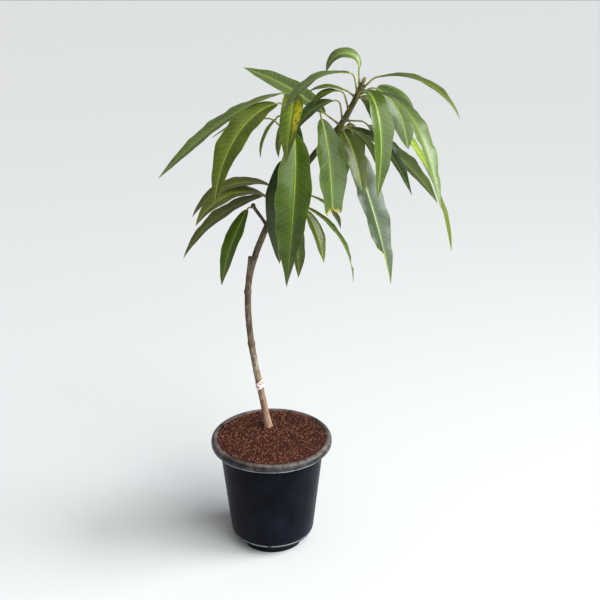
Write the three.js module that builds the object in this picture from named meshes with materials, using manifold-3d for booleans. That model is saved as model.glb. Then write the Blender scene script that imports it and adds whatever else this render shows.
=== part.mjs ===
// A young mango tree in a black nursery pot: pot, soil, trunk, two boughs, a cut stub, a dry snag,
// a grafting tie and nine masses of foliage. Millimetres and degrees, +Z up. The origin is
// the centre of the pot's flat underside; headings are plan angles counted from +X towards +Y.
import * as THREE from 'three';
import { mergeVertices } from 'three/addons/utils/BufferGeometryUtils.js';
import Module from 'manifold-3d';

const wasm = await Module();
wasm.setup();

// ---------------------------------------------------------------- driving dimensions
const GAP = 0.3;

// Points closer than WELD are one point, volumes under SPECK are nothing, and the slivers left
// where cut or fused facets just miss each other are smoothed away by up to SLIVER.
const WELD = 1e-4;
const SPECK = 1e-3;
const SLIVER = 0.04;
const HALVINGS = 30;

const POT = {
  height: 192,
  rimRadius: 100,
  rimDepth: 13,
  rimRound: 3,
  lipRadius: 90,
  lipDrop: 1.5,
  neckRadius: 86.6,
  skirtRadius: 70.3,
  skirtHeight: 22,
  stepRadius: 62.6,
  stepHeight: 16.2,
  stepRound: 4,
  footRadius: 55.6,
  draft: 1,
  wall: 2.4,
  bevel: 1.5,
  floor: 3,
  segments: 48,
};
const DRAIN = { count: 3, first: -146, width: 20, height: 9, depth: 12 };
const SOIL = { level: 190.3, edgeDrop: 0.8, edgeWidth: 9 };

// Each limb is a run of axis points with the radius of the wood at its foot and its tip.
const LIMBS = {
  trunk: {
    axis: [[-6.5, 31.5, 190.6], [-15.7, 32.5, 244.7], [-25.8, 31.5, 301.2], [-32.5, 29, 350.5],
      [-36, 25, 410], [-32.5, 18, 460], [-18.5, 14, 510], [1, 11, 555], [22, 8, 594]],
    radii: [5.6, 4.7],
  },
  leader: {
    axis: [[22, 8, 594], [45, 5, 627], [72, 2, 663], [99, -1, 692], [117, -4, 720], [132, -8, 752],
      [136, -9, 762]],
    radii: [4.5, 4.1],
  },
  leftBough: {
    axis: [[24, 7.5, 599], [25, 6, 614], [27, 4, 640], [28, 0, 680], [29, -5, 716], [31, -8, 738]],
    radii: [3.7, 2.8],
  },
  stub: {
    axis: [[-33.5, 17, 463], [-31.6, 16, 482], [-30.2, 15.5, 497]],
    radii: [3.4, 3.1],
  },
  snag: {
    axis: [[-3, 10, 547], [-11, 5, 562], [-21, 0, 578], [-24, -1, 585]],
    radii: [2.3, 2.7],
  },
};
const FLARE = { extra: 2.2, height: 14, rings: [0.33, 0.8] };
const SCARS = { heights: [345, 437], extra: 0.9, width: 4 };
const LIMB_SIDES = 10;
const LIMB_STEP = 18;

const TIE = { on: 'trunk', height: 270, width: 13, thickness: 0.9, slant: 25, sides: 16 };

const SPUR_RADIUS = 1.9;
const SPUR_SIDES = 6;
const SPUR_MARGIN = 3;
const STALK_RADIUS = 1.3;
const STALK_STEPS = 5;
const BLADE_STEPS = 10;
const BLADE_THICKNESS = 0.013;
const LEAST_DEPTH = 0.6;
const LEAST_HALF = 0.5;
const OUTLINE = { skew: 0.85, widest: 0.44, base: 0.62, tip: 0.9 };
const TEAR_RAMP = 0.05;

// Where a leaf springs (limb and height), which way it heads, how its stalk rises, the slope of
// the blade at its base (level) and tip (hang), and its sizes. early > 1 bends it near the base;
// turn swings the blade round on its stalk, sweep curls it along its length, roll and twist turn
// it about its own midrib, fold lifts each half from flat, and blunt < 1 ends it short.
const leaf = (name, on, height, heading, rise, stalk, level, hang, blade, wide, extra = {}) => ({
  name, on, height, heading, rise, stalk, level, hang, blade, wide,
  early: 1, turn: 0, sweep: 0, roll: 0, twist: 0, fold: 12, blunt: 1, tear: null, ...extra,
});

// The leaves that fill the plant's far side are dealt out by a seeded rule, evenly round the
// headings and heights a mass gives, each with a slope, stalk and blade drawn from these ranges.
const FAR = {
  jitter: [-6, 6], rise: [-35, 0], stalk: [22, 32], level: [-58, -28], hang: [-89, -80],
  blade: [95, 150], slimness: 3.6,
};

const MASSES = [
  {
    name: 'foliage_top', limb: 'leader', stemFrom: 732, colour: 0x5d7d2c,
    leaves: [
      leaf('curl', 'leader', 760, 170, 86, 21, 93, -76, 72, 26, { early: 1.4, turn: 12, roll: 30 }),
      leaf('arch_left', 'leader', 750, 214, 76, 32, 10, -58, 127, 33, { roll: -2 }),
      leaf('arch_right', 'leader', 757, -27, 42, 28, 14, -60, 140, 36, { roll: 0 }),
      leaf('small_left', 'leader', 742, 185, 36, 16, 22, -30, 56, 18, { roll: 10 }),
      leaf('pale_front', 'leader', 737, -71, 46, 26, 20, -101, 188, 38,
        { early: 2.2, roll: 14, fold: 22 }),
      leaf('sheen_right', 'leader', 749, -42, 12, 30, -2, -71, 199, 48, { early: 2.6, roll: 10 }),
      leaf('behind_right', 'leader', 750, 0, 25, 22, -20, -78, 104, 46, { early: 2.2, roll: -62 }),
      leaf('young_right', 'leader', 743, 14, -14, 30, -41, -80, 270, 36, { roll: -48, twist: 60 }),
    ],
  },
  {
    name: 'foliage_front', limb: 'leader', side: -95, colour: 0x4f7327,
    leaves: [
      leaf('torn_tip', 'leader', 702, 212, 34, 53, -50, -85, 170, 46,
        { early: 2.3, turn: 80, roll: 6, fold: 20, blunt: 0.8 }),
      leaf('olive', 'leader', 696, -60, 10, 12, -32, -77, 108, 34, { early: 1.5 }),
      leaf('torn_side', 'leader', 694, -47, -4, 20, -57, -73, 221, 52,
        { tear: { side: 1, from: 0.75, to: 1.2, depth: 0.8 } }),
    ],
  },
  {
    name: 'foliage_back', limb: 'leader', side: 55,
    far: { seed: 5485, count: 3, headings: [70, 112], heights: [716, 696] }, colour: 0x2f4f2a,
    leaves: [
      leaf('dark_long', 'leader', 700, 33, 2, 25, -25, -52, 220, 38, { roll: 16 }),
      leaf('dark_short', 'leader', 710, 16, -4, 35, -45, -66, 133, 36, { roll: -40 }),
      leaf('bright_tip', 'leader', 698, 30, 2, 15, -20, -78, 76, 30),
      leaf('shade', 'leader', 735, 62, 24, 25, -5, -84, 112, 38),
    ],
  },
  {
    name: 'foliage_middle', limb: 'leader', side: 178, colour: 0x57772f,
    leaves: [
      leaf('upswept', 'leader', 701, 148, 29, 26, 34, 13, 157, 34, { early: 1.3, roll: 30 }),
      leaf('knee', 'leader', 710, 206, 80, 34, -5, -65, 80, 34, { roll: 8 }),
      leaf('slim', 'leader', 725, 204, 72, 32, 10, -60, 46, 20, { roll: 10 }),
    ],
  },
  {
    name: 'foliage_left', limb: 'leftBough', stemFrom: 686,
    far: { seed: 9010, count: 2, headings: [92, 60], heights: [733, 700] }, colour: 0x4a6b22,
    leaves: [
      leaf('yellowed', 'leftBough', 726, -78, 55, 34, 10, -84, 116, 32, { early: 2.5, sweep: -64 }),
      leaf('great', 'leftBough', 700, -77, 12, 46, -55, -82, 219, 54, { early: 3, sweep: -68, fold: 18 }),
      leaf('olive_left', 'leftBough', 730, 226, 20, 21, -5, -79, 184, 43, { early: 1.2, roll: 19 }),
      leaf('long_left', 'leftBough', 735, 202, 74, 18, -12, -41, 214, 34,
        { early: 1.8, twist: 24 }),
      leaf('behind_left', 'leftBough', 694, 178, 42, 34, -2, -38, 85, 30),
      leaf('small_hanging', 'leftBough', 714, 162, 2, 14, -46, -86, 66, 20),
      leaf('sliver', 'leftBough', 708, 140, -20, 8, -74, -88, 52, 16),
    ],
  },
  {
    name: 'foliage_shaded', limb: 'leftBough', side: 235, colour: 0x23401f,
    leaves: [
      leaf('shaded', 'leftBough', 652, 246, 20, 9, -60, -96, 158, 40, { early: 2 }),
    ],
  },
  {
    name: 'foliage_low_left', limb: 'trunk', side: 205, colour: 0x3e5a24,
    leaves: [
      leaf('low_arch', 'trunk', 593, 202, 56, 25, 22, -56, 136, 34, { roll: 12 }),
      leaf('low_broad', 'trunk', 581, 217, 40, 18, 34, -54, 142, 38, { roll: 13 }),
      leaf('low_edge', 'trunk', 576, 200, 68, 28, -8, -60, 158, 32, { roll: 12 }),
    ],
  },
  {
    name: 'foliage_low_right', limb: 'trunk', side: 30,
    far: { seed: 5548, count: 2, headings: [66, 112], heights: [594, 579] }, colour: 0x44632a,
    leaves: [
      leaf('low_far', 'trunk', 584, 52, -25, 22, -65, -92, 122, 34),
      leaf('low_front', 'trunk', 588, -34, 4, 44, -52, -82, 84, 30),
      leaf('low_slim', 'trunk', 590, -14, -8, 34, -25, -88, 143, 22,
        { tear: { side: -1, from: 0.74, to: 0.86, depth: 0.7 } }),
      leaf('low_dark', 'trunk', 592, 28, 8, 44, -22, -72, 84, 32),
    ],
  },
  {
    name: 'foliage_snag', limb: 'snag', stemFrom: 575, colour: 0x3f6128,
    leaves: [
      leaf('lone', 'snag', 581, 226, 5, 11, -48, -77, 121, 34),
    ],
  },
];

// ---------------------------------------------------------------- small helpers
const rad = THREE.MathUtils.degToRad;
const lerp = THREE.MathUtils.lerp;
const ease = (t) => THREE.MathUtils.smoothstep(t, 0, 1);
const plan = (heading) => new THREE.Vector3(Math.cos(rad(heading)), Math.sin(rad(heading)), 0);
const range = (count) => [...Array(count).keys()];

function indexedGeometry(points, index) {
  const geometry = new THREE.BufferGeometry();
  geometry.setAttribute('position', new THREE.Float32BufferAttribute(points.flatMap((p) => [...p]), 3));
  geometry.setIndex(index);
  return geometry;
}

// A closed skin over a run of rings that all have the same number of points. With wrap, the last
// ring joins the first; without it both ends are capped.
function skinOver(rings, wrap = false) {
  const sides = rings[0].length;
  const index = [];
  const last = wrap ? rings.length : rings.length - 1;
  for (const i of range(last)) {
    const next = (i + 1) % rings.length;
    for (const j of range(sides)) {
      const k = (j + 1) % sides;
      index.push(i * sides + j, i * sides + k, next * sides + k);
      index.push(i * sides + j, next * sides + k, next * sides + j);
    }
  }
  if (!wrap) {
    const far = (rings.length - 1) * sides;
    for (const j of range(sides - 2)) {
      index.push(0, j + 2, j + 1);
      index.push(far, far + j + 1, far + j + 2);
    }
  }
  return indexedGeometry(rings.flat(), index);
}

function toSolid(geometry) {
  const bare = geometry.clone();
  bare.deleteAttribute('normal');
  bare.deleteAttribute('uv');
  const merged = mergeVertices(bare, WELD);
  const mesh = new wasm.Mesh({
    numProp: 3,
    vertProperties: new Float32Array(merged.attributes.position.array),
    triVerts: new Uint32Array(merged.index.array),
  });
  return new wasm.Manifold(mesh);
}

function toGeometry(solid) {
  const mesh = solid.getMesh();
  const geometry = new THREE.BufferGeometry();
  geometry.setAttribute('position', new THREE.BufferAttribute(new Float32Array(mesh.vertProperties), 3));
  geometry.setIndex(new THREE.BufferAttribute(new Uint32Array(mesh.triVerts), 1));
  return geometry;
}

// ---------------------------------------------------------------- limbs
const curves = {};
for (const [name, limb] of Object.entries(LIMBS)) {
  curves[name] = new THREE.CatmullRomCurve3(limb.axis.map((p) => new THREE.Vector3(...p)));
}

// Every limb climbs all the way, so a height picks one place on its axis.
function placeAt(name, height) {
  const bottom = LIMBS[name].axis[0][2];
  const top = LIMBS[name].axis.at(-1)[2];
  let low = 0;
  let high = 1;
  for (let i = 0; i < HALVINGS; i += 1) {
    const middle = (low + high) / 2;
    if (curves[name].getPoint(middle).z < height) low = middle;
    else high = middle;
  }
  const share = THREE.MathUtils.clamp((height - bottom) / (top - bottom), 0, 1);
  return { t: (low + high) / 2, share };
}

function radiusAt(name, height) {
  const [foot, tip] = LIMBS[name].radii;
  let radius = lerp(foot, tip, placeAt(name, height).share);
  if (name === 'trunk') {
    radius += FLARE.extra * Math.exp(-(height - LIMBS.trunk.axis[0][2]) / FLARE.height);
    for (const scar of SCARS.heights) {
      radius += SCARS.extra * Math.exp(-(((height - scar) / SCARS.width) ** 2));
    }
  }
  return radius;
}

// A frame on the limb's axis: the point, the way the limb runs, and two ways across it.
function frameAt(name, height) {
  const { t } = placeAt(name, height);
  const point = curves[name].getPoint(t);
  const along = curves[name].getTangent(t);
  const across = new THREE.Vector3(0, 1, 0).cross(along).normalize();
  const back = along.clone().cross(across);
  return { point, along, across, back };
}

// The point on a limb's flank that faces a heading, at a distance from its axis.
function flankPoint(name, height, heading, distance) {
  const { point, along } = frameAt(name, height);
  const way = plan(heading);
  way.addScaledVector(along, -way.dot(along)).normalize();
  return point.addScaledVector(way, distance);
}

function ringAround({ point, across, back }, radius, sides) {
  return range(sides).map((i) => {
    const angle = (2 * Math.PI * i) / sides;
    return point.clone()
      .addScaledVector(across, radius * Math.cos(angle))
      .addScaledVector(back, radius * Math.sin(angle));
  });
}

// The stations climb in even steps, with a ring at the foot of the flare and on each leaf scar.
function stationHeights(name, from, to) {
  const steps = Math.ceil((to - from) / LIMB_STEP);
  const heights = range(steps + 1).map((i) => lerp(from, to, i / steps));
  if (name === 'trunk') {
    for (const share of FLARE.rings) heights.push(from + FLARE.height * share);
    for (const scar of SCARS.heights) heights.push(scar - SCARS.width, scar, scar + SCARS.width);
  }
  return heights.sort((a, b) => a - b);
}

// The wood of a limb between two heights. A swell above zero gives the same limb grown by that
// much on its sides and at both ends, which is what its neighbours are cut with. A stem that goes
// on from a limb's end starts a little past it: lift is that distance.
function wood(name, from, to, { swell = 0, lift = 0 } = {}) {
  const rings = stationHeights(name, from, to).map((height) => {
    const frame = frameAt(name, height);
    if (height === from) frame.point.addScaledVector(frame.along, lift - swell);
    if (height === to) frame.point.addScaledVector(frame.along, swell);
    return ringAround(frame, radiusAt(name, height) + swell, LIMB_SIDES);
  });
  if (name === 'trunk') rings[0].forEach((point) => point.setZ(from - swell));
  return toSolid(skinOver(rings));
}

const stemStart = (limb) => MASSES.find((mass) => mass.limb === limb && mass.stemFrom)?.stemFrom;
const footOf = (limb) => LIMBS[limb].axis[0][2];
const tipOf = (limb) => LIMBS[limb].axis.at(-1)[2];
const endOf = (limb) => stemStart(limb) ?? tipOf(limb);
const guards = {};
for (const name of Object.keys(LIMBS)) {
  guards[name] = wood(name, footOf(name), endOf(name), { swell: GAP });
}

function limbSolid(name, neighbours) {
  let solid = wood(name, footOf(name), endOf(name));
  for (const neighbour of neighbours) solid = solid.subtract(guards[neighbour]);
  return solid.simplify(SLIVER);
}

// ---------------------------------------------------------------- leaves
// Half the blade's width as a share of its widest, at a share of its length.
function bladeOutline(u) {
  const bulge = Math.sin(Math.PI * Math.min(u, 1) ** OUTLINE.skew);
  return Math.max(bulge, 0) ** (u < OUTLINE.widest ? OUTLINE.base : OUTLINE.tip);
}

// A tear runs in from the margin over a short stretch, and out again where it ends.
function tornShare(tear, side, u) {
  if (!tear || tear.side !== side) return 1;
  const reach = Math.min(u - tear.from, tear.to - u) / TEAR_RAMP;
  return 1 - tear.depth * THREE.MathUtils.clamp(reach, 0, 1);
}

function leafDirection(slope, heading) {
  return new THREE.Vector3(
    Math.cos(rad(slope)) * Math.cos(rad(heading)),
    Math.cos(rad(slope)) * Math.sin(rad(heading)),
    Math.sin(rad(slope)),
  );
}

// The slope and heading of the stalk and the blade, at a share of the length of each.
function stalkLie(one, t) {
  const bend = ease((t - 0.5) * 2);
  return [lerp(one.rise, one.level, bend), one.heading + one.turn * bend];
}

function bladeLie(one, u) {
  const bend = 1 - (1 - u) ** one.early;
  return [lerp(one.level, one.hang, bend), one.heading + one.turn + one.sweep * u];
}

function leafFrame(point, slope, heading, roll) {
  const along = leafDirection(slope, heading);
  const side = new THREE.Vector3(Math.sin(rad(heading)), -Math.cos(rad(heading)), 0);
  const face = side.clone().cross(along);
  const turned = new THREE.Quaternion().setFromAxisAngle(along, -rad(roll));
  return { point: point.clone(), side: side.applyQuaternion(turned), face: face.applyQuaternion(turned) };
}

// The four corners of a leaf's section: right margin, lower midrib, left margin, upper midrib.
function leafSection({ point, side, face }, right, left, depth, fold) {
  const margin = (width, way) => point.clone()
    .addScaledVector(side, way * width * Math.cos(rad(fold)))
    .addScaledVector(face, width * Math.sin(rad(fold)));
  return [
    margin(right, 1),
    point.clone().addScaledVector(face, -depth),
    margin(left, -1),
    point.clone().addScaledVector(face, depth),
  ];
}

function leafSolid(one, root) {
  const point = flankPoint(one.on, one.height, one.heading, radiusAt(one.on, one.height));
  const shift = root.clone().sub(point);
  const rings = [];
  for (const i of range(STALK_STEPS + 1)) {
    const [slope, heading] = stalkLie(one, i / STALK_STEPS);
    const fade = (1 - i / STALK_STEPS) ** 2;
    const frame = leafFrame(point.clone().addScaledVector(shift, fade), slope, heading, one.roll);
    if (i < STALK_STEPS) rings.push(leafSection(frame, STALK_RADIUS, STALK_RADIUS, STALK_RADIUS, 0));
    const middle = stalkLie(one, (i + 0.5) / STALK_STEPS);
    if (i < STALK_STEPS) point.addScaledVector(leafDirection(...middle), one.stalk / STALK_STEPS);
  }
  const thick = Math.max((BLADE_THICKNESS * one.blade) / 2, LEAST_DEPTH);
  for (const i of range(BLADE_STEPS + 1)) {
    const u = (one.blunt * i) / BLADE_STEPS;
    const [slope, heading] = bladeLie(one, u);
    const frame = leafFrame(point, slope, heading, one.roll + one.twist * u);
    const half = (way) => Math.max(
      (one.wide / 2) * bladeOutline(u) * tornShare(one.tear, way, u),
      i === 0 ? STALK_RADIUS : LEAST_HALF,
    );
    const depth = i === BLADE_STEPS && one.blunt === 1 ? LEAST_HALF : thick;
    rings.push(leafSection(frame, half(1), half(-1), depth, i === 0 ? 0 : one.fold));
    const step = one.blunt / BLADE_STEPS;
    point.addScaledVector(leafDirection(...bladeLie(one, u + step / 2)), one.blade * step);
  }
  return toSolid(skinOver(rings));
}

// A generator that always deals the same run of draws for a seed, each between two bounds.
function seededDraws(seed) {
  let state = seed;
  return ([low, high]) => {
    state = (state * 48271) % 2147483647;
    return lerp(low, high, state / 2147483647);
  };
}

function farLeaves(limb, { seed, count, headings, heights }) {
  const draw = seededDraws(seed);
  return range(count).map((i) => {
    const share = (i + 0.5) / count;
    const heading = lerp(...headings, share) + draw(FAR.jitter);
    const [rise, stalk, level, hang, blade] = ['rise', 'stalk', 'level', 'hang', 'blade']
      .map((key) => draw(FAR[key]));
    const height = lerp(...heights, share);
    return leaf(`far_${limb}_${i + 1}`, limb, height, heading, rise, stalk, level, hang, blade,
      blade / FAR.slimness);
  });
}

const leavesOf = (mass) => [...mass.leaves, ...(mass.far ? farLeaves(mass.limb, mass.far) : [])];

// ---------------------------------------------------------------- masses of foliage
// A mass at a limb's tip grows on a stem that carries the limb on. A mass on a limb's flank grows
// on a slim spur that runs close along the bark.
const touches = (solid, other) => solid.intersect(other).volume() > SPECK;

function spurPoint(mass, height) {
  const offset = radiusAt(mass.limb, height) + 2 * GAP + SPUR_RADIUS;
  return flankPoint(mass.limb, height, mass.side, offset);
}

function spurSolid(mass) {
  const heights = leavesOf(mass).map((one) => one.height);
  const from = Math.min(...heights) - SPUR_MARGIN;
  const to = Math.max(...heights) + SPUR_MARGIN;
  const steps = Math.max(2, Math.ceil((to - from) / LIMB_STEP));
  const rings = range(steps + 1).map((i) => {
    const height = lerp(from, to, i / steps);
    const frame = frameAt(mass.limb, height);
    frame.point = spurPoint(mass, height);
    return ringAround(frame, SPUR_RADIUS, SPUR_SIDES);
  });
  return toSolid(skinOver(rings));
}

function massSolid(mass) {
  const stem = mass.stemFrom !== undefined;
  let solid = stem
    ? wood(mass.limb, mass.stemFrom, tipOf(mass.limb), { lift: GAP })
    : spurSolid(mass);
  for (const one of leavesOf(mass)) {
    const root = stem ? frameAt(mass.limb, one.height).point : spurPoint(mass, one.height);
    const grown = leafSolid(one, root);
    if (Object.values(guards).some((guard) => touches(grown, guard))) continue;
    solid = solid.add(grown);
  }
  return solid.simplify(SLIVER);
}

// ---------------------------------------------------------------- pot, soil and tie
function turned(profile) {
  const points = profile.map(([radius, height]) => new THREE.Vector2(radius, height));
  return new THREE.LatheGeometry([...points, points[0]], POT.segments).rotateX(Math.PI / 2);
}

// The inside of the pot, from its neck down to the middle of its floor, drawn in by a clearance.
function cavity(clear) {
  return [
    [POT.neckRadius - POT.wall - clear, POT.height - POT.rimDepth],
    [POT.skirtRadius - POT.wall - clear, POT.skirtHeight + POT.bevel + clear],
    [POT.stepRadius - POT.draft - clear, POT.stepHeight + POT.wall + clear],
    [POT.footRadius - POT.draft - clear, POT.stepHeight + POT.wall - POT.bevel + clear],
    [POT.footRadius - POT.wall - clear, POT.floor + clear],
    [0, POT.floor + clear],
  ];
}

function potSolid() {
  const top = POT.height;
  const under = top - POT.rimDepth;
  const profile = [
    [0, 0],
    [POT.footRadius, 0],
    [POT.stepRadius - POT.stepRound, POT.stepHeight - POT.draft],
    [POT.stepRadius, POT.stepHeight],
    [POT.skirtRadius - POT.bevel, POT.skirtHeight - POT.stepRound],
    [POT.skirtRadius, POT.skirtHeight],
    [POT.neckRadius, under],
    [POT.rimRadius - POT.rimRound, under - POT.draft],
    [POT.rimRadius, under + POT.bevel],
    [POT.rimRadius, top - POT.rimRound - POT.draft],
    [POT.rimRadius - POT.rimRound, top - POT.draft],
    [POT.rimRadius - 2 * POT.rimRound, top],
    [POT.lipRadius, top - POT.lipDrop],
    ...cavity(0),
  ];
  let solid = toSolid(turned(profile));
  for (const i of range(DRAIN.count)) {
    const notch = new THREE.BoxGeometry(DRAIN.depth, DRAIN.width, DRAIN.height * 2);
    notch.translate(POT.footRadius, 0, 0);
    notch.rotateZ(rad(DRAIN.first + (360 / DRAIN.count) * i));
    solid = solid.subtract(toSolid(notch));
  }
  return solid;
}

function soilSolid() {
  const clear = 1.5 * GAP;
  const inside = cavity(clear);
  const [neckRadius, neckHeight] = inside[0];
  const edge = SOIL.level - SOIL.edgeDrop;
  const climb = (edge - neckHeight) / (POT.height - POT.lipDrop - neckHeight);
  const edgeRadius = lerp(neckRadius, POT.lipRadius - clear, climb);
  return toSolid(turned([
    ...inside.reverse(),
    [edgeRadius, edge],
    [edgeRadius - SOIL.edgeWidth, SOIL.level],
    [0, SOIL.level],
  ]));
}

// The tie is a band of tape wrapped once round the trunk, higher on one side.
function tieSolid() {
  const rings = range(TIE.sides).map((i) => {
    const angle = (2 * Math.PI * i) / TIE.sides;
    const inner = radiusAt(TIE.on, TIE.height) + 2 * GAP;
    const lift = Math.tan(rad(TIE.slant)) * inner * Math.cos(angle);
    const corner = (rise, offset) => {
      const { point, across, back } = frameAt(TIE.on, TIE.height + lift + rise);
      return point
        .addScaledVector(across, (inner + offset) * Math.cos(angle))
        .addScaledVector(back, (inner + offset) * Math.sin(angle));
    };
    const half = TIE.width / 2;
    return [corner(-half, 0), corner(half, 0), corner(half, TIE.thickness), corner(-half, TIE.thickness)];
  });
  return toSolid(skinOver(rings, true));
}

// ---------------------------------------------------------------- the whole plant
const group = new THREE.Group();
function addPart(name, solid, color, roughness, metalness = 0) {
  const material = new THREE.MeshStandardMaterial({ color, roughness, metalness });
  const mesh = new THREE.Mesh(toGeometry(solid), material);
  mesh.name = name;
  group.add(mesh);
}

addPart('pot', potSolid(), 0x23252c, 0.45);
addPart('soil', soilSolid(), 0x4a2c26, 0.95);
addPart('grafting_tie', tieSolid(), 0xe6b9b4, 0.5);
addPart('trunk', limbSolid('trunk', []), 0x6b5a4a, 0.85);
addPart('leader_bough', limbSolid('leader', ['trunk']), 0x5a5238, 0.75);
addPart('left_bough', limbSolid('leftBough', ['trunk', 'leader']), 0x54492f, 0.8);
addPart('cut_stub', limbSolid('stub', ['trunk']), 0x5e4f40, 0.85);
addPart('dry_snag', limbSolid('snag', ['trunk']), 0x3d342b, 0.85);
for (const mass of MASSES) addPart(mass.name, massSolid(mass), mass.colour, 0.4);

export default group;
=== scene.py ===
# %% [markdown]
# # A young mango tree in its nursery pot
#
# This notebook dresses a set of plain solids until they look like a real sapling. The solids are
# the *frame*: they hold every size and place, and nothing here moves or resizes them. Each step
# below takes one thing that a gardener would name - the bark, a leaf, the peat - says what it is
# on the real plant, and builds it as a mesh with a finish of its own.
#
# Lengths are in millimetres, as on a drawing, and `MM` turns them into Blender's metres. Headings
# are plan angles in degrees, counted from +X towards +Y, and slopes are degrees above the horizon.

# %% Load the frame
import math
from types import SimpleNamespace

import bpy
import numpy as np
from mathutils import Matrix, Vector, noise


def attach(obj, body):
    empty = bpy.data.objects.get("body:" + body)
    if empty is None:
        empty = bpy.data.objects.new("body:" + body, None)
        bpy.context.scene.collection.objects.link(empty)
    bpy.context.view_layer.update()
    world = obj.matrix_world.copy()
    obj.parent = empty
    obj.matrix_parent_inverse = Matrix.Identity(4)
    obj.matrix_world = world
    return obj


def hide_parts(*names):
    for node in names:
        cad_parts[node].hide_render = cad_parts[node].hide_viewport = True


MM = 0.001
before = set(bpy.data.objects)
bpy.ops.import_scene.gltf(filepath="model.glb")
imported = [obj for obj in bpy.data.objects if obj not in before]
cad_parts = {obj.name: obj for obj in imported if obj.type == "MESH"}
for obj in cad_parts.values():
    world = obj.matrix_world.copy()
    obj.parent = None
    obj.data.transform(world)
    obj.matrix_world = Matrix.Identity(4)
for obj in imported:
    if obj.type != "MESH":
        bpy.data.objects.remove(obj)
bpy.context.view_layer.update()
print("solids in the frame:", ", ".join(sorted(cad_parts)))

# %% [markdown]
# ## Two tools used by every piece
#
# A plant is many small sheets and tubes, and each of them is a grid: rows along it, columns
# across it. Gathering grids in plain arrays and handing them to Blender once is far quicker than
# adding faces one by one, and it lets one object hold many leaves. `Pile` does the gathering. It
# keeps three things beside the points and faces: which material a face takes, values painted on
# the points, which a material can read by name, and where each face lies on a flat sheet, which
# lets a pattern be baked to a picture later without one leaf landing on another.
#
# The second tool shortens the making of a material: one call for each node.

# %% The faces of a grid
def grid_faces(rows, columns, closed=False):
    """Faces of a grid of points that are counted row by row."""
    across = columns if closed else columns - 1
    row, column = np.meshgrid(np.arange(rows - 1), np.arange(across), indexing="ij")
    beside = (column + 1) % columns
    here = row * columns
    corners = [here + column, here + beside, here + columns + beside, here + columns + column]
    return np.stack(corners, axis=-1).reshape(-1, 4)


print("a grid of 3 by 4 points has", len(grid_faces(3, 4)), "faces")

# %% Gather grids into one mesh
class Pile:
    """Points, faces and painted values of one piece, gathered before Blender sees them."""

    def __init__(self):
        self.points, self.faces, self.slots, self.sheet, self.values = [], [], [], [], {}
        self.count = 0

    def add(self, points, faces, slot=0, sheet=None, **values):
        points = np.asarray(points, float).reshape(-1, 3)
        faces = np.asarray(faces)
        self.points.append(points)
        self.faces.append(faces + self.count)
        self.slots.append(np.broadcast_to(slot, len(faces)))
        if sheet is not None:
            self.sheet.append(sheet.reshape(-1, 2))
        for name, value in values.items():
            flat = np.broadcast_to(value, len(points)) if np.ndim(value) == 0 else np.ravel(value)
            self.values.setdefault(name, []).append(flat)
        self.count += len(points)

    def cap_ends(self, rings, sides, first=-1):
        """Close the tube that was added last, by a flat face over each of its end rings."""
        start = self.count - rings * sides
        for ring, order in ((0, first), (rings - 1, -first)):
            self.faces.append((start + ring * sides + np.arange(sides)[::order])[None, :])
            self.slots.append(np.zeros(1))

    def build(self, name, materials, sharp=50):
        mesh = bpy.data.meshes.new(name)
        faces = [face for block in self.faces for face in block.tolist()]
        mesh.from_pydata((np.concatenate(self.points) * MM).tolist(), [], faces)
        for material in materials:
            mesh.materials.append(material)
        mesh.polygons.foreach_set("material_index", np.concatenate(self.slots).astype(np.int32))
        for key, blocks in self.values.items():
            layer = mesh.attributes.new(key, "FLOAT", "POINT")
            layer.data.foreach_set("value", np.concatenate(blocks).astype(np.float32))
        if self.sheet:
            layer = mesh.uv_layers.new(name="OFBake")
            layer.data.foreach_set("uv", np.concatenate(self.sheet).astype(np.float32).ravel())
        mesh.shade_smooth()
        mesh.set_sharp_from_angle(angle=math.radians(sharp))
        mesh.update()
        piece = bpy.data.objects.new(name, mesh)
        bpy.context.scene.collection.objects.link(piece)
        return piece


print("a pile takes:", ", ".join(name for name in vars(Pile) if not name.startswith("_")))

# %% Hand a finished piece to the frame
def settle(piece, slot, *nodes):
    """The piece rides with the plant and stands for CAD nodes; the slot it is given is not used."""
    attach(piece, "root")
    if nodes:
        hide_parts(*nodes)
    triangles = sum(len(face.vertices) - 2 for face in piece.data.polygons)
    print(f"{piece.name}: {triangles} triangles")


print("solids to dress:", len(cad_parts))

# %% Colours by their code
def paint(code):
    """A colour from its six-figure code, in the linear values that Blender's sockets take."""
    shares = [int(code[i: i + 2], 16) / 255 for i in (1, 3, 5)]
    linear = [s / 12.92 if s <= 0.04045 else ((s + 0.055) / 1.055) ** 2.4 for s in shares]
    return (*linear, 1.0)


def toned(colour, share, extra=(0, 0, 0)):
    """The same colour made darker or paler."""
    return tuple(min(1.0, c * share + more) for c, more in zip(colour, extra)) + (1.0,)


print("the grey #808080 is", round(paint("#808080")[0], 3), "in linear light")

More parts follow.
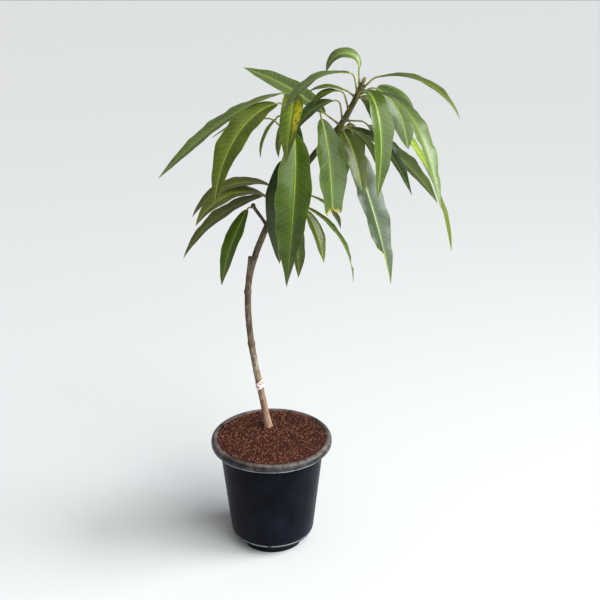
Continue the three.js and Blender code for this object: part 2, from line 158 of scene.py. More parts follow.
# %% Write a material one node at a time
class Finish:
    """A Principled material under construction."""

    def __init__(self, name, **sockets):
        self.material = bpy.data.materials.new(name)
        self.material.use_nodes = True
        self.tree = self.material.node_tree
        self.shader = self.tree.nodes["Principled BSDF"]
        for socket, value in sockets.items():
            self.shader.inputs[socket.replace("_", " ")].default_value = value

    def node(self, kind, sockets, output=0, **settings):
        node = self.tree.nodes.new("ShaderNode" + kind)
        for setting, value in settings.items():
            setattr(node, setting, value)
        for socket, value in sockets.items():
            if isinstance(value, bpy.types.NodeSocket):
                self.tree.links.new(value, node.inputs[socket])
            else:
                node.inputs[socket].default_value = value
        return node.outputs[output]

    def value(self, name):
        return self.node("Attribute", {}, output="Fac", attribute_name=name)

    def place(self, stretch=(1, 1, 1)):
        """Where a point is on the object, stretched along the axes."""
        place = self.node("TexCoord", {}, output="Object")
        return self.node("Mapping", {"Vector": place, "Scale": stretch})

    def noise(self, scale, detail=3, rough=0.55, stretch=(1, 1, 1)):
        sockets = {"Vector": self.place(stretch), "Scale": scale, "Detail": detail, "Roughness": rough}
        return self.node("TexNoise", sockets)

    def between(self, value, low, high, out_low=0.0, out_high=1.0):
        """A value eased from one range into another."""
        sockets = {"Value": value, "From Min": low, "From Max": high}
        sockets.update({"To Min": out_low, "To Max": out_high})
        return self.node("MapRange", sockets, interpolation_type="SMOOTHSTEP")

    def math(self, operation, first, second=0.0):
        return self.node("Math", {0: first, 1: second}, operation=operation)

    def mix(self, share, first, second):
        node = self.tree.nodes.new("ShaderNodeMix")
        node.data_type = "RGBA"
        for socket, value in (("Factor", share), ("A", first), ("B", second)):
            target = [s for s in node.inputs if s.name == socket and s.enabled][0]
            if isinstance(value, bpy.types.NodeSocket):
                self.tree.links.new(value, target)
            else:
                target.default_value = value
        return [s for s in node.outputs if s.enabled][0]

    def bump(self, height, strength, distance):
        sockets = {"Height": height, "Strength": strength, "Distance": distance * MM}
        self.feed("Normal", self.node("Bump", sockets))

    def feed(self, socket, source):
        self.tree.links.new(source, self.shader.inputs[socket])


print("a finish can use:", ", ".join(name for name in vars(Finish) if not name.startswith("_")))

# %% [markdown]
# ## The limbs
#
# The stem of a sapling isn't straight: it leans back to the light, bends at each year's growth
# and was tied once. Each limb here is a smooth curve through a few points of its axis, with the
# wood's radius at its foot and its tip. The curve is a centripetal Catmull-Rom spline, which
# passes through its points without overshooting, and as every limb climbs all the way, a height
# is enough to name a place on it. That is how leaves are told where to spring from. One of the
# limbs is only a stump: the first leading shoot was cut off, and the trunk went on beside it.

# %% Axes and radii of the limbs
LIMBS = {
    "trunk": {
        "axis": [(-6.5, 31.5, 190.6), (-15.7, 32.5, 244.7), (-25.8, 31.5, 301.2), (-32.5, 29, 350.5),
                 (-36, 25, 410), (-32.5, 18, 460), (-18.5, 14, 510), (1, 11, 555), (22, 8, 594)],
        "radii": (5.6, 4.7),
    },
    "leader": {
        "axis": [(22, 8, 594), (45, 5, 627), (72, 2, 663), (99, -1, 692), (117, -4, 720),
                 (132, -8, 752), (136, -9, 762)],
        "radii": (4.5, 4.1),
    },
    "leftBough": {
        "axis": [(24, 7.5, 599), (25, 6, 614), (27, 4, 640), (28, 0, 680), (29, -5, 716), (31, -8, 738)],
        "radii": (3.7, 2.8),
    },
    "stub": {"axis": [(-33.5, 17, 463), (-31.6, 16, 482), (-30.2, 15.5, 497)], "radii": (3.4, 3.1)},
    "snag": {
        "axis": [(-3, 10, 547), (-11, 5, 562), (-21, 0, 578), (-24, -1, 585)],
        "radii": (2.3, 2.7),
    },
}
FLARE = {"extra": 2.2, "height": 14}
SCAR_RINGS = {"heights": (345, 437), "extra": 0.9, "width": 4}
print("limbs:", ", ".join(LIMBS))

# %% The spline through an axis
SPAN_SAMPLES = 60


def unit(vectors):
    return vectors / np.linalg.norm(vectors, axis=-1, keepdims=True)


def span_points(before, start, end, after, share):
    """One span of the centripetal spline, between two of its four control points."""
    gaps = [math.sqrt(math.dist(a, b)) for a, b in ((before, start), (start, end), (end, after))]
    leave = (start - before) / gaps[0] - (end - before) / (gaps[0] + gaps[1]) + (end - start) / gaps[1]
    reach = (end - start) / gaps[1] - (after - start) / (gaps[1] + gaps[2]) + (after - end) / gaps[2]
    leave, reach, share = leave * gaps[1], reach * gaps[1], share[:, None]
    square = 3 * (end - start) - 2 * leave - reach
    cube = 2 * (start - end) + leave + reach
    return start + leave * share + square * share ** 2 + cube * share ** 3


def limb_course(axis):
    """Many points along the limb, with the direction it runs in at each."""
    knots = np.array(axis, float)
    knots = np.vstack([2 * knots[0] - knots[1], knots, 2 * knots[-1] - knots[-2]])
    share = np.linspace(0, 1, SPAN_SAMPLES, endpoint=False)
    spans = [span_points(*knots[i: i + 4], share) for i in range(len(knots) - 3)]
    points = np.vstack(spans + [knots[-2]])
    return points, unit(np.gradient(points, axis=0))


COURSES = {name: limb_course(limb["axis"]) for name, limb in LIMBS.items()}
print("points along the limbs:", sum(len(points) for points, _ in COURSES.values()))

# %% Places and thickness along a limb
def on_limb(name, heights):
    """Points of the limb's axis and its directions at some heights."""
    points, directions = COURSES[name]
    read = lambda table: np.stack([np.interp(heights, points[:, 2], table[:, k]) for k in range(3)], -1)
    return read(points), unit(read(directions))


def limb_radius(name, heights):
    bottom, top = LIMBS[name]["axis"][0][2], LIMBS[name]["axis"][-1][2]
    foot, tip = LIMBS[name]["radii"]
    radius = foot + (tip - foot) * np.clip((heights - bottom) / (top - bottom), 0, 1)
    if name == "trunk":
        radius = radius + FLARE["extra"] * np.exp(-(heights - bottom) / FLARE["height"])
        for ring in SCAR_RINGS["heights"]:
            bulge = np.exp(-((heights - ring) / SCAR_RINGS["width"]) ** 2)
            radius = radius + SCAR_RINGS["extra"] * bulge
    return radius


def flank_point(name, height, heading, distance):
    """The point on a limb's flank that faces a heading, at a distance from its axis."""
    point, along = on_limb(name, height)
    way = np.array([math.cos(math.radians(heading)), math.sin(math.radians(heading)), 0])
    way = unit(way - along * way.dot(along))
    return point + way * distance


def square_to(along):
    """Two directions square to a limb's course and to each other."""
    across = unit(np.cross((0, 1, 0), along))
    return across, np.cross(along, across)


for name, (points, _) in COURSES.items():
    length = np.linalg.norm(np.diff(points, axis=0), axis=1).sum()
    print(f"{name}: {length:.0f} mm of wood, {2 * LIMBS[name]['radii'][0]:.1f} mm thick at its foot")

# %% [markdown]
# ## The finish of the bark
#
# Mango bark starts green and smooth on the new shoot, turns olive, and within two years is
# grey-brown with fine cracks along the stem and pale dots, the lenticels through which it
# breathes. Near the peat it is a warm pinkish tan, and it darkens again towards the crown. One
# material covers all of it. Three values painted on the mesh say how green, how warm and how
# scarred the bark is at each point, and the nodes turn them into colour. Streaks come from noise
# squeezed across the stem.

# %% Bark
DARKER_UPWARDS = {"from": 300, "to": 440, "share": 0.55}


def bark_finish():
    bark = Finish("bark", Roughness=0.8, Specular_IOR_Level=0.3)
    patches = bark.noise(55, detail=5, rough=0.6)
    streaks = bark.noise(420, detail=4, rough=0.7, stretch=(1, 1, 0.12))
    grey = bark.mix(bark.between(patches, 0.35, 0.65), paint("#6b5b4b"), paint("#9a8a77"))
    grey = bark.mix(bark.between(streaks, 0.33, 0.54), paint("#3a2f25"), grey)
    dots = bark.node("TexVoronoi", {"Vector": bark.place((1, 1, 0.6)), "Scale": 330, "Randomness": 0.9})
    lenticels = bark.between(dots, 0.10, 0.24, 1.0, 0.0)
    sparse = bark.between(bark.noise(160, detail=1), 0.52, 0.6)
    grey = bark.mix(bark.math("MULTIPLY", lenticels, sparse), grey, paint("#b3a28c"))
    tan = bark.mix(bark.between(streaks, 0.3, 0.7), paint("#8a6d5c"), paint("#b5937f"))
    warm = bark.math("MULTIPLY", bark.value("warm"), bark.between(patches, 0.3, 0.6, 0.45, 1.0))
    colour = bark.mix(warm, grey, tan)
    shoot = bark.mix(bark.between(patches, 0.3, 0.7), paint("#565f24"), paint("#7b8539"))
    colour = bark.mix(bark.value("green"), colour, shoot)
    colour = bark.mix(bark.value("scar"), colour, paint("#33271d"))
    level = bark.node("SeparateXYZ", {"Vector": bark.place()}, output=2)
    low, high = DARKER_UPWARDS["from"] * MM, DARKER_UPWARDS["to"] * MM
    darker = bark.between(level, low, high, 0.0, DARKER_UPWARDS["share"])
    colour = bark.mix(darker, colour, paint("#46382d"))
    bark.feed("Base Color", colour)
    bark.feed("Roughness", bark.between(bark.value("green"), 0.0, 1.0, 0.82, 0.45))
    relief = bark.math("ADD", streaks, bark.math("MULTIPLY", patches, 0.6))
    bark.bump(relief, 0.5, 0.35)
    return bark.material


BARK = bark_finish()
print("bark:", len(BARK.node_tree.nodes), "nodes")

# %% [markdown]
# ## The bark's shape
#
# A stem keeps a mark for every leaf it has dropped: a low crescent with a dent above it. They
# wind up the stem at the golden angle, close together where growth paused and far apart where it
# ran. A finely divided tube takes them as real relief, so they show in the outline too, with
# slow swellings, shallow flutes and cracks from noise. The alternative, a bump in the material,
# is flat against the sky, and on a stem a centimetre thick the outline is most of what shows.
# The stump keeps its full width up to the cut, which has weathered dark. The other limbs draw in
# a little at the tip.

# %% Tubes and noise
def fade(values, low, high):
    """0 up to one value, 1 from another, and an eased step between them."""
    share = np.clip((values - low) / (high - low), 0, 1)
    return share * share * (3 - 2 * share)


def noise_at(points, scale, seed):
    """Smooth noise between -1 and 1 at points in millimetres."""
    shift = Vector((seed * 7.31, seed * 3.17, seed * 5.73))
    flat = points.reshape(-1, 3) * scale
    return np.array([noise.noise(Vector(p) + shift) for p in flat]).reshape(points.shape[:-1])


def swept_tube(centres, across, back, radii, sides):
    """Points of a tube: one ring of them round each centre, with one radius for each ring or point."""
    angles = np.linspace(0, 2 * np.pi, sides, endpoint=False)
    ring = across[:, None] * np.cos(angles)[:, None] + back[:, None] * np.sin(angles)[:, None]
    radii = radii if radii.ndim == 2 else radii[:, None]
    return centres[:, None] + ring * radii[..., None]


print("half way through a fade:", fade(0.5, 0, 1))

# %% Leaf scars
GOLDEN_ANGLE = 137.5
SCAR_SHAPE = {"half_turn": 0.75, "crescent": 0.17, "dent": 0.07}
LEAF_SCARS = {
    "trunk": {"from": 215, "to": 590, "spacing": 13.5, "size": 3.0},
    "leader": {"from": 603, "to": 742, "spacing": 6.4, "size": 2.6},
    "leftBough": {"from": 607, "to": 728, "spacing": 7.0, "size": 2.2},
    "stub": {"from": 474, "to": 490, "spacing": 8.0, "size": 1.6},
    "snag": {"from": 556, "to": 582, "spacing": 7.5, "size": 1.6},
}


def scar_relief(name, heights, angles):
    """How much each scar lifts the bark, and how dark it is."""
    rule = LEAF_SCARS[name]
    lift = np.zeros((len(heights), len(angles)))
    dark = np.zeros_like(lift)
    draw = np.random.default_rng(len(name))
    count = int((rule["to"] - rule["from"]) / rule["spacing"])
    for k in range(count):
        height = rule["from"] + rule["spacing"] * (k + draw.uniform(-0.35, 0.35))
        heading = math.radians(k * GOLDEN_ANGLE + draw.uniform(-15, 15))
        turn = np.abs((angles - heading + np.pi) % (2 * np.pi) - np.pi)
        size = rule["size"] * draw.uniform(0.75, 1.2)
        above = (heights - height)[:, None] / size
        width = np.exp(-(turn / SCAR_SHAPE["half_turn"]) ** 2)
        crescent = np.exp(-((above + 0.5 + 0.5 * (turn / 0.9) ** 2) / 0.45) ** 2)
        dent = np.exp(-((above - 0.35) / 0.4) ** 2) * np.exp(-(turn / 0.5) ** 2)
        lift += width * crescent * SCAR_SHAPE["crescent"] * size - dent * SCAR_SHAPE["dent"] * size
        dark += dent * 0.75 + width * crescent * 0.18
    return lift, np.clip(dark, 0, 1)


print("leaf scars from", min(rule["from"] for rule in LEAF_SCARS.values()), "mm up")

# %% The bark's relief
BARK_SIDES = 36
BARK_NOISE = ((0.30, 0.35, 0.11, 1), (0.16, 0.25, 0.55, 2))
RING_RELIEF = {"reach": 5, "ripple": 0.22, "pitch": 2.6, "lean": 0.5, "dark": 0.6}
SWOLLEN_FOOT = {"share": 0.22, "reach": 7}
ROOT_RIBS = {"count": 3, "height": 0.5, "reach": 22}
SNAG_KNOB = 0.35
TIP = {"reach": 2.2, "narrowed_to": 0.55}


def ring_relief(heights, angles, radii, dark):
    """The two rings of crowded scars, where the trunk's growth paused for a season."""
    for ring in SCAR_RINGS["heights"]:
        off = (heights - ring)[:, None]
        near = np.exp(-(off / RING_RELIEF["reach"]) ** 2)
        ripple = RING_RELIEF["ripple"] * np.cos(RING_RELIEF["pitch"] * off)
        radii = radii + near * (ripple + RING_RELIEF["lean"] * np.cos(angles - 0.8 * (ring % 7)))
        dark = np.clip(dark + RING_RELIEF["dark"] * np.exp(-((off + 1.2) / 0.8) ** 2), 0, 1)
    return radii, dark


def bark_relief(name, heights, angles, smooth):
    """The radius at every point of a limb's bark, and how dark a scar it is."""
    low, high = heights[0], heights[-1]
    lift, dark = scar_relief(name, heights, angles)
    radii = limb_radius(name, heights)[:, None] + lift
    if name == "trunk":
        radii, dark = ring_relief(heights, angles, radii, dark)
    if name == "snag":
        radii = radii * (1 + SNAG_KNOB * fade(heights, high - 6, high - 2)[:, None])
    for height, squeeze, scale, seed in BARK_NOISE:
        radii += height * noise_at(smooth * (1, 1, squeeze), scale, seed)
    if name == "trunk":
        ribs = np.exp(-(heights - low) / ROOT_RIBS["reach"])[:, None]
        radii += ROOT_RIBS["height"] * ribs * np.cos(ROOT_RIBS["count"] * angles + 0.6)
    else:
        radii *= 1 + SWOLLEN_FOOT["share"] * np.exp(-(heights - low) / SWOLLEN_FOOT["reach"])[:, None]
    tip = fade(high - heights, 0, TIP["reach"])[:, None]
    if name == "stub":
        dark = np.clip(dark + 1 - tip, 0, 1)
    else:
        radii *= TIP["narrowed_to"] + (1 - TIP["narrowed_to"]) * np.sqrt(tip)
    return radii, dark


print("the bark's relief has", BARK_SIDES, "points round a limb")

# %% Sweep the bark along each limb
BARK_STEP = 0.9
SUNK_FOOT = {"depth": 4, "reach": 6}
GREENING = {"leader": (640, 700), "leftBough": (660, 760)}
ALL_GREY = (900, 1000)
GREEN_WOBBLE = 22
WARM_FOOT = (200, 300)
DRY = 0.45


def bark_piece(name, title, node):
    low, high = LIMBS[name]["axis"][0][2], LIMBS[name]["axis"][-1][2]
    heights = np.linspace(low, high, int((high - low) / BARK_STEP))
    centres, along = on_limb(name, heights)
    across, back = square_to(along)
    angles = np.linspace(0, 2 * np.pi, BARK_SIDES, endpoint=False)
    smooth = swept_tube(centres, across, back, limb_radius(name, heights), BARK_SIDES)
    radii, dark = bark_relief(name, heights, angles, smooth)
    if name != "trunk":
        sunk = SUNK_FOOT["depth"] * np.exp(-(heights - low) / SUNK_FOOT["reach"])
        centres = centres - along * sunk[:, None]
    level = smooth[..., 2] + GREEN_WOBBLE * noise_at(smooth, 0.02, 5)
    pile = Pile()
    pile.add(
        swept_tube(centres, across, back, radii, BARK_SIDES),
        grid_faces(len(heights), BARK_SIDES, closed=True),
        green=fade(level, *GREENING.get(name, ALL_GREY)),
        warm=1 - fade(level, *WARM_FOOT),
        scar=np.clip(dark + DRY, 0, 1) if name == "snag" else dark,
    )
    pile.cap_ends(len(heights), BARK_SIDES)
    settle(pile.build(title, [BARK], sharp=70), "bark", node)


bark_piece("trunk", "trunk_bark", "trunk")
bark_piece("leader", "leader_bark", "leader_bough")
bark_piece("leftBough", "left_bough_bark", "left_bough")
bark_piece("stub", "cut_stub_bark", "cut_stub")
bark_piece("snag", "snag_bark", "dry_snag")

# %% [markdown]
# ## Where every leaf goes
#
# The frame's foliage was grown by a rule, and the same rule is written again here so that the
# fine leaves take the coarse ones' places. A row says where a leaf springs, which way it heads,
# how its stalk rises and its blade hangs, and how large it is. `early` above 1 bends the blade
# near its base, `turn` swings it round on its stalk, `sweep` curls it along its length, and `roll`
# and `twist` turn it about its own midrib. `blunt` cuts its tip off, `tear` is the side, start,
# end and depth of a torn margin, and `wilt` the place and size of a yellowed patch. The last word
# of a row is the leaf's tone. The leaves of the far side are dealt out by a seeded rule, so that
# they never change between two runs.

# %% How a leaf is written down
LEAF_HABIT = {
    "early": 1, "turn": 0, "sweep": 0, "roll": 0, "twist": 0, "fold": 15, "blunt": 1,
    "tear": None, "wilt": None,
}


def leaf(name, on, height, heading, rise, stalk, level, hang, blade, wide, tone, **extra):
    row = dict(name=name, on=on, height=height, heading=heading, rise=rise, stalk=stalk,
               level=level, hang=hang, blade=blade, wide=wide, tone=tone)
    return SimpleNamespace(**{**LEAF_HABIT, **row, **extra})


print("habits of a leaf:", ", ".join(LEAF_HABIT))

# %% The leaves, mass by mass
MASSES = {
    "foliage_top": [
        leaf("curl", "leader", 760, 170, 86, 21, 93, -76, 72, 26, "silver", early=1.4, turn=12, roll=30),
        leaf("arch_left", "leader", 750, 214, 76, 32, 10, -58, 127, 33, "silver", roll=-2),
        leaf("arch_right", "leader", 757, -27, 42, 28, 14, -60, 140, 36, "olive"),
        leaf("small_left", "leader", 742, 185, 36, 16, 22, -30, 56, 18, "fresh", roll=10),
        leaf("pale_front", "leader", 737, -71, 46, 26, 20, -101, 188, 38, "green",
             early=2.2, roll=14, fold=24),
        leaf("sheen_right", "leader", 749, -42, 12, 30, -2, -71, 199, 48, "silver", early=2.6, roll=10),
        leaf("behind_right", "leader", 750, 0, 25, 22, -20, -78, 104, 46, "green", early=2.2, roll=-62),
        leaf("young_right", "leader", 743, 14, -14, 30, -41, -80, 270, 36, "young", roll=-48, twist=60),
    ],
    "foliage_front": [
        leaf("torn_tip", "leader", 702, 212, 34, 53, -50, -85, 170, 46, "green",
             early=2.3, turn=80, roll=6, fold=20, blunt=0.8),
        leaf("olive", "leader", 696, -60, 10, 12, -32, -77, 108, 34, "olive", early=1.5),
        leaf("torn_side", "leader", 694, -47, -4, 20, -57, -73, 221, 52, "deep",
             tear=(1, 0.75, 1.2, 0.8)),
    ],
    "foliage_back": [
        leaf("dark_long", "leader", 700, 33, 2, 25, -25, -52, 220, 38, "deep", roll=16),
        leaf("dark_short", "leader", 710, 16, -4, 35, -45, -66, 133, 36, "deep", roll=-40),
        leaf("bright_tip", "leader", 698, 30, 2, 15, -20, -78, 76, 30, "green"),
        leaf("shade", "leader", 735, 62, 24, 25, -5, -84, 112, 38, "deep"),
    ],
    "foliage_middle": [
        leaf("upswept", "leader", 701, 148, 29, 26, 34, 13, 157, 34, "silver", early=1.3, roll=30),
        leaf("knee", "leader", 710, 206, 80, 34, -5, -65, 80, 34, "green", roll=8),
        leaf("slim", "leader", 725, 204, 72, 32, 10, -60, 46, 20, "fresh", roll=10),
    ],
    "foliage_left": [
        leaf("yellowed", "leftBough", 726, -78, 55, 34, 10, -84, 116, 32, "fresh",
             early=2.5, sweep=-64, wilt=(0.45, -0.55, 0.32)),
        leaf("great", "leftBough", 700, -77, 12, 46, -55, -82, 219, 54, "green",
             early=3, sweep=-68, fold=20),
        leaf("olive_left", "leftBough", 730, 226, 20, 21, -5, -79, 184, 43, "olive",
             early=1.2, roll=19),
        leaf("long_left", "leftBough", 735, 202, 74, 18, -12, -41, 214, 34, "silver",
             early=1.8, twist=24),
        leaf("behind_left", "leftBough", 694, 178, 42, 34, -2, -38, 85, 30, "deep"),
        leaf("small_hanging", "leftBough", 714, 162, 2, 14, -46, -86, 66, 20, "dull"),
        leaf("sliver", "leftBough", 708, 140, -20, 8, -74, -88, 52, 16, "dull"),
    ],
    "foliage_shaded": [
        leaf("shaded", "leftBough", 652, 246, 20, 9, -60, -96, 158, 40, "deep", early=2),
    ],
    "foliage_low_left": [
        leaf("low_arch", "trunk", 593, 202, 56, 25, 22, -56, 136, 34, "dusk", roll=12),
        leaf("low_broad", "trunk", 581, 217, 40, 18, 34, -54, 142, 38, "dusk", roll=13),
        leaf("low_edge", "trunk", 576, 200, 68, 28, -8, -60, 158, 32, "dusk", roll=12),
    ],
    "foliage_low_right": [
        leaf("low_far", "trunk", 584, 52, -25, 22, -65, -92, 122, 34, "olive"),
        leaf("low_front", "trunk", 588, -34, 4, 44, -52, -82, 84, 30, "olive"),
        leaf("low_slim", "trunk", 590, -14, -8, 34, -25, -88, 143, 22, "green",
             tear=(-1, 0.74, 0.86, 0.7)),
        leaf("low_dark", "trunk", 592, 28, 8, 44, -22, -72, 84, 32, "deep"),
    ],
    "foliage_snag": [
        leaf("lone", "snag", 581, 226, 5, 11, -48, -77, 121, 34, "green"),
    ],
}

LONGEST = max((one for leaves in MASSES.values() for one in leaves), key=lambda one: one.blade)
print("the longest leaf is", LONGEST.name, "with", LONGEST.blade, "mm")

# %% The leaves of the far side
FAR_RANGES = {
    "rise": (-35, 0), "stalk": (22, 32), "level": (-58, -28), "hang": (-89, -80), "blade": (95, 150),
}
FAR_JITTER = (-6, 6)
FAR_SLIMNESS = 3.6
FAR_SIDE = {
    "foliage_back": dict(
        limb="leader", seed=5485, count=3, headings=(70, 112), heights=(716, 696)),
    "foliage_left": dict(
        limb="leftBough", seed=9010, count=2, headings=(92, 60), heights=(733, 700)),
    "foliage_low_right": dict(
        limb="trunk", seed=5548, count=2, headings=(66, 112), heights=(594, 579)),
}
DRAW_FACTOR, DRAW_PRIME = 48271, 2 ** 31 - 1


def seeded_draws(seed):
    """A generator that always deals the same run of draws for a seed."""
    state = [seed]

    def draw(bounds):
        state[0] = state[0] * DRAW_FACTOR % DRAW_PRIME
        return bounds[0] + (bounds[1] - bounds[0]) * state[0] / DRAW_PRIME

    return draw


def far_leaves(limb, seed, count, headings, heights):
    draw = seeded_draws(seed)
    dealt = []
    for i in range(count):
        share = (i + 0.5) / count
        heading = headings[0] + (headings[1] - headings[0]) * share + draw(FAR_JITTER)
        lie = [draw(bounds) for bounds in FAR_RANGES.values()]
        height = heights[0] + (heights[1] - heights[0]) * share
        name, wide = f"far_{limb}_{i + 1}", lie[-1] / FAR_SLIMNESS
        dealt.append(leaf(name, limb, height, heading, *lie, wide, "deep"))
    return dealt


for mass, rule in FAR_SIDE.items():
    MASSES[mass] += far_leaves(**rule)
print(sum(len(leaves) for leaves in MASSES.values()), "leaves in", len(MASSES), "masses")

# %% [markdown]
# ## How a leaf lies
#
# Heavy mango leaves leave the stem on a stiff stalk and then give way to their own weight. The
# slope eases from the stalk's rise to the blade's level, then on to the hang of its tip. Adding
# up small steps in the direction of that slope gives the midrib in space. At each step two more
# directions are needed, across the blade and out of its upper face, so that a cross-section can
# be laid on the curve like a rib on a keel.

# %% Which way a leaf runs
def leaf_direction(slope, heading):
    slope, heading = np.radians(slope), np.radians(heading)
    flat = np.cos(slope)
    return np.stack([flat * np.cos(heading), flat * np.sin(heading), np.sin(slope)], -1)


def stalk_lie(one, t):
    bend = fade(t, 0.5, 1)
    return one.rise + (one.level - one.rise) * bend, one.heading + one.turn * bend


def blade_lie(one, u):
    bend = 1 - (1 - u) ** one.early
    return one.level + (one.hang - one.level) * bend, one.heading + one.turn + one.sweep * u


def leaf_frames(slope, heading, roll):
    """The directions across a leaf and out of its upper face."""
    along = leaf_direction(slope, heading)
    angle = np.radians(heading)
    side = np.stack([np.sin(angle), -np.cos(angle), np.zeros_like(angle)], -1)
    face = np.cross(side, along)
    turn = -np.radians(roll)[..., None]
    return [way * np.cos(turn) + np.cross(along, way) * np.sin(turn) for way in (side, face)]


print("a level leaf that heads along +X runs along", leaf_direction(0, 0).round(3))

# %% The course of a stalk and its blade
LIE_STEPS = 240


def course(lie, one, start, length):
    """Points, side and face directions along a stalk or a blade, in even steps."""
    share = np.linspace(0, 1, LIE_STEPS + 1)
    middle = (share[1:] + share[:-1]) / 2
    steps = leaf_direction(*lie(one, middle)) * length / LIE_STEPS
    points = start + np.vstack([np.zeros(3), np.cumsum(steps, axis=0)])
    slope, heading = lie(one, share)
    roll = one.roll + (one.twist * share if lie is blade_lie else 0 * share)
    return points, *leaf_frames(slope, heading, roll)


def lay_out(one):
    """The courses of a leaf's stalk and blade, from the bark it springs from."""
    root = flank_point(one.on, one.height, one.heading, limb_radius(one.on, one.height))
    stalk = course(stalk_lie, one, root, one.stalk)
    return stalk, course(blade_lie, one, stalk[0][-1], one.blade)


def read_course(table, share):
    """A course's points or directions at any share of its length."""
    steps = np.linspace(0, 1, len(table))
    return np.stack([np.interp(share, steps, table[:, k]) for k in range(3)], -1)


(foot, *_), (midrib, *_) = lay_out(LONGEST)
print(f"the tip of {LONGEST.name} hangs {foot[0, 2] - midrib[-1, 2]:.0f} mm under its foot")

# %% [markdown]
# ## The finish of a leaf
#
# A mango leaf is leathery. Its upper side is dark and waxy, so much of what one sees of it is
# the room's light on the wax: a pale, slightly blue sheen. A thin clear coat over a green base
# gives that better than a shiny green, because the two layers keep their own roughness. The
# side veins are paler and stand in even pairs. Their place is painted on the mesh as a count that
# rises by one from vein to vein, and the fraction of that count tells how near a vein a point is.
# The underside is paler, greyer and matt. A leaf's tone is a base colour of its own, but two of
# them paint light into it: one is a paler green with the sheen of the waxiest leaves painted in,
# and `glow` paints the light coming through the thin underside of a young leaf, bright yellow-green.

# %% Leaf tones
TONES = {
    "deep": "#33461a",
    "green": "#4a620f",
    "olive": "#556214",
    "fresh": "#5f7018",
    "young": "#7f940c",
    "dull": "#4a5a2a",
    "dusk": "#666b2c",
    # paler green: the sheen of the waxiest leaves painted into their base colour
    "silver": "#64763c",
    # bright yellow-green: painted light that comes through the thin underside of a young leaf
    "glow": "#a6bf12",
}
UNDER_TONE = "#66763a"
RIB_TONE = "#a9ae52"
WILTED = "#b3a92a"
BROWNED = "#7a5a34"
TONE_SLOT = {tone: slot for slot, tone in enumerate(TONES)}
UNDER_SLOT = len(TONES)
RIB_SLOT = UNDER_SLOT + 1
print("leaf tones:", ", ".join(TONES))

# %% Leaf and midrib finishes
def leaf_finish(name, tone, matt=False):
    base = paint(tone)
    pale, dark = toned(base, 1.7, (0.03, 0.035, 0.012)), toned(base, 0.72)
    if matt:
        skin = Finish(name, Roughness=0.62, Specular_IOR_Level=0.35)
    else:
        skin = Finish(name, Roughness=0.42, Specular_IOR_Level=0.4, Coat_Weight=0.4, Coat_Roughness=0.28)
    clouds = skin.noise(38, detail=3, rough=0.5)
    colour = skin.mix(skin.between(clouds, 0.32, 0.7), dark, base)
    count = skin.value("vein")
    fraction = skin.math("FRACT", count)
    near = skin.math("ABSOLUTE", skin.math("SUBTRACT", fraction, 0.5))
    vein = skin.between(near, 0.41, 0.49)
    inside = skin.between(skin.value("edge"), 0.80, 0.98, 1.0, 0.0)
    vein = skin.math("MULTIPLY", vein, inside)
    colour = skin.mix(skin.math("MULTIPLY", vein, 0.5), colour, pale)
    heart = skin.between(skin.value("edge"), 0.0, 0.35, 0.4, 0.0)
    colour = skin.mix(heart, colour, pale)
    rim = skin.between(skin.value("edge"), 0.95, 0.99, 0.0, 0.55)
    colour = skin.mix(rim, colour, paint("#8f9a4a"))
    flecks = skin.between(skin.noise(900, detail=2, rough=0.6), 0.62, 0.72, 0.0, 0.35)
    colour = skin.mix(flecks, colour, pale)
    mottle = skin.between(skin.noise(170, detail=4, rough=0.7), 0.3, 0.7, 0.45, 1.45)
    wilt = skin.math("MULTIPLY", skin.value("wilt"), mottle)
    colour = skin.mix(skin.between(wilt, 0.3, 0.75), colour, paint(WILTED))
    colour = skin.mix(skin.between(wilt, 0.95, 1.15), colour, paint(BROWNED))
    skin.feed("Base Color", colour)
    wax = skin.noise(70, detail=4, rough=0.6)
    smoothest, roughest = (0.56, 0.68) if matt else (0.37, 0.45)
    skin.feed("Roughness", skin.between(wax, 0.3, 0.7, smoothest, roughest))
    net = skin.node("TexVoronoi", {"Vector": skin.place(), "Scale": 620}, feature="DISTANCE_TO_EDGE")
    relief = skin.math("ADD", skin.between(net, 0.0, 0.12, 0.0, 0.35), skin.math("MULTIPLY", vein, 0.8))
    skin.bump(relief, 0.25, 0.25)
    return skin.material


def rib_finish():
    rib = Finish("leaf_midrib", Roughness=0.45)
    clouds = rib.between(rib.noise(90), 0.3, 0.7)
    rib.feed("Base Color", rib.mix(clouds, paint("#8d9a4e"), paint(RIB_TONE)))
    return rib.material


LEAF_MATERIALS = [leaf_finish("leaf_" + tone, code) for tone, code in TONES.items()]
LEAF_MATERIALS.append(leaf_finish("leaf_underside", UNDER_TONE, matt=True))
LEAF_MATERIALS.append(rib_finish())
print("leaf finishes:", ", ".join(material.name for material in LEAF_MATERIALS))

# %% [markdown]
# ## The blade
#
# A blade is a closed sheet less than half a millimetre thick. Seen from its tip it is a shallow
# V, since the halves fold up from the midrib, and its margins wave because they grow faster than
# the middle. Between two side veins the blade swells a little, like a quilt. All of that is
# height above the flat blade, worked out for every point of a grid, so the outline and the play
# of light follow from the same numbers. Torn edges are cut by narrowing the grid itself.

# %% The blade's outline
WIDEST = 0.44
TEAR_RAMP = 0.05


def blade_outline(u):
    """Half the blade's width as a share of its widest, at a share of its length."""
    bulge = np.clip(np.sin(np.pi * np.minimum(u, 1) ** 0.85), 0, None)
    return bulge ** np.where(u < WIDEST, 0.62, 0.9)


def torn_share(tear, way, u):
    """How much of its width a torn half keeps."""
    if tear is None:
        return np.ones_like(u)
    side, start, end, depth = tear
    reach = np.minimum(u - start, end - u) / TEAR_RAMP
    return 1 - (way == side) * depth * np.clip(reach, 0, 1)


print(f"a quarter along, a blade has {blade_outline(0.25):.0%} of its full width")

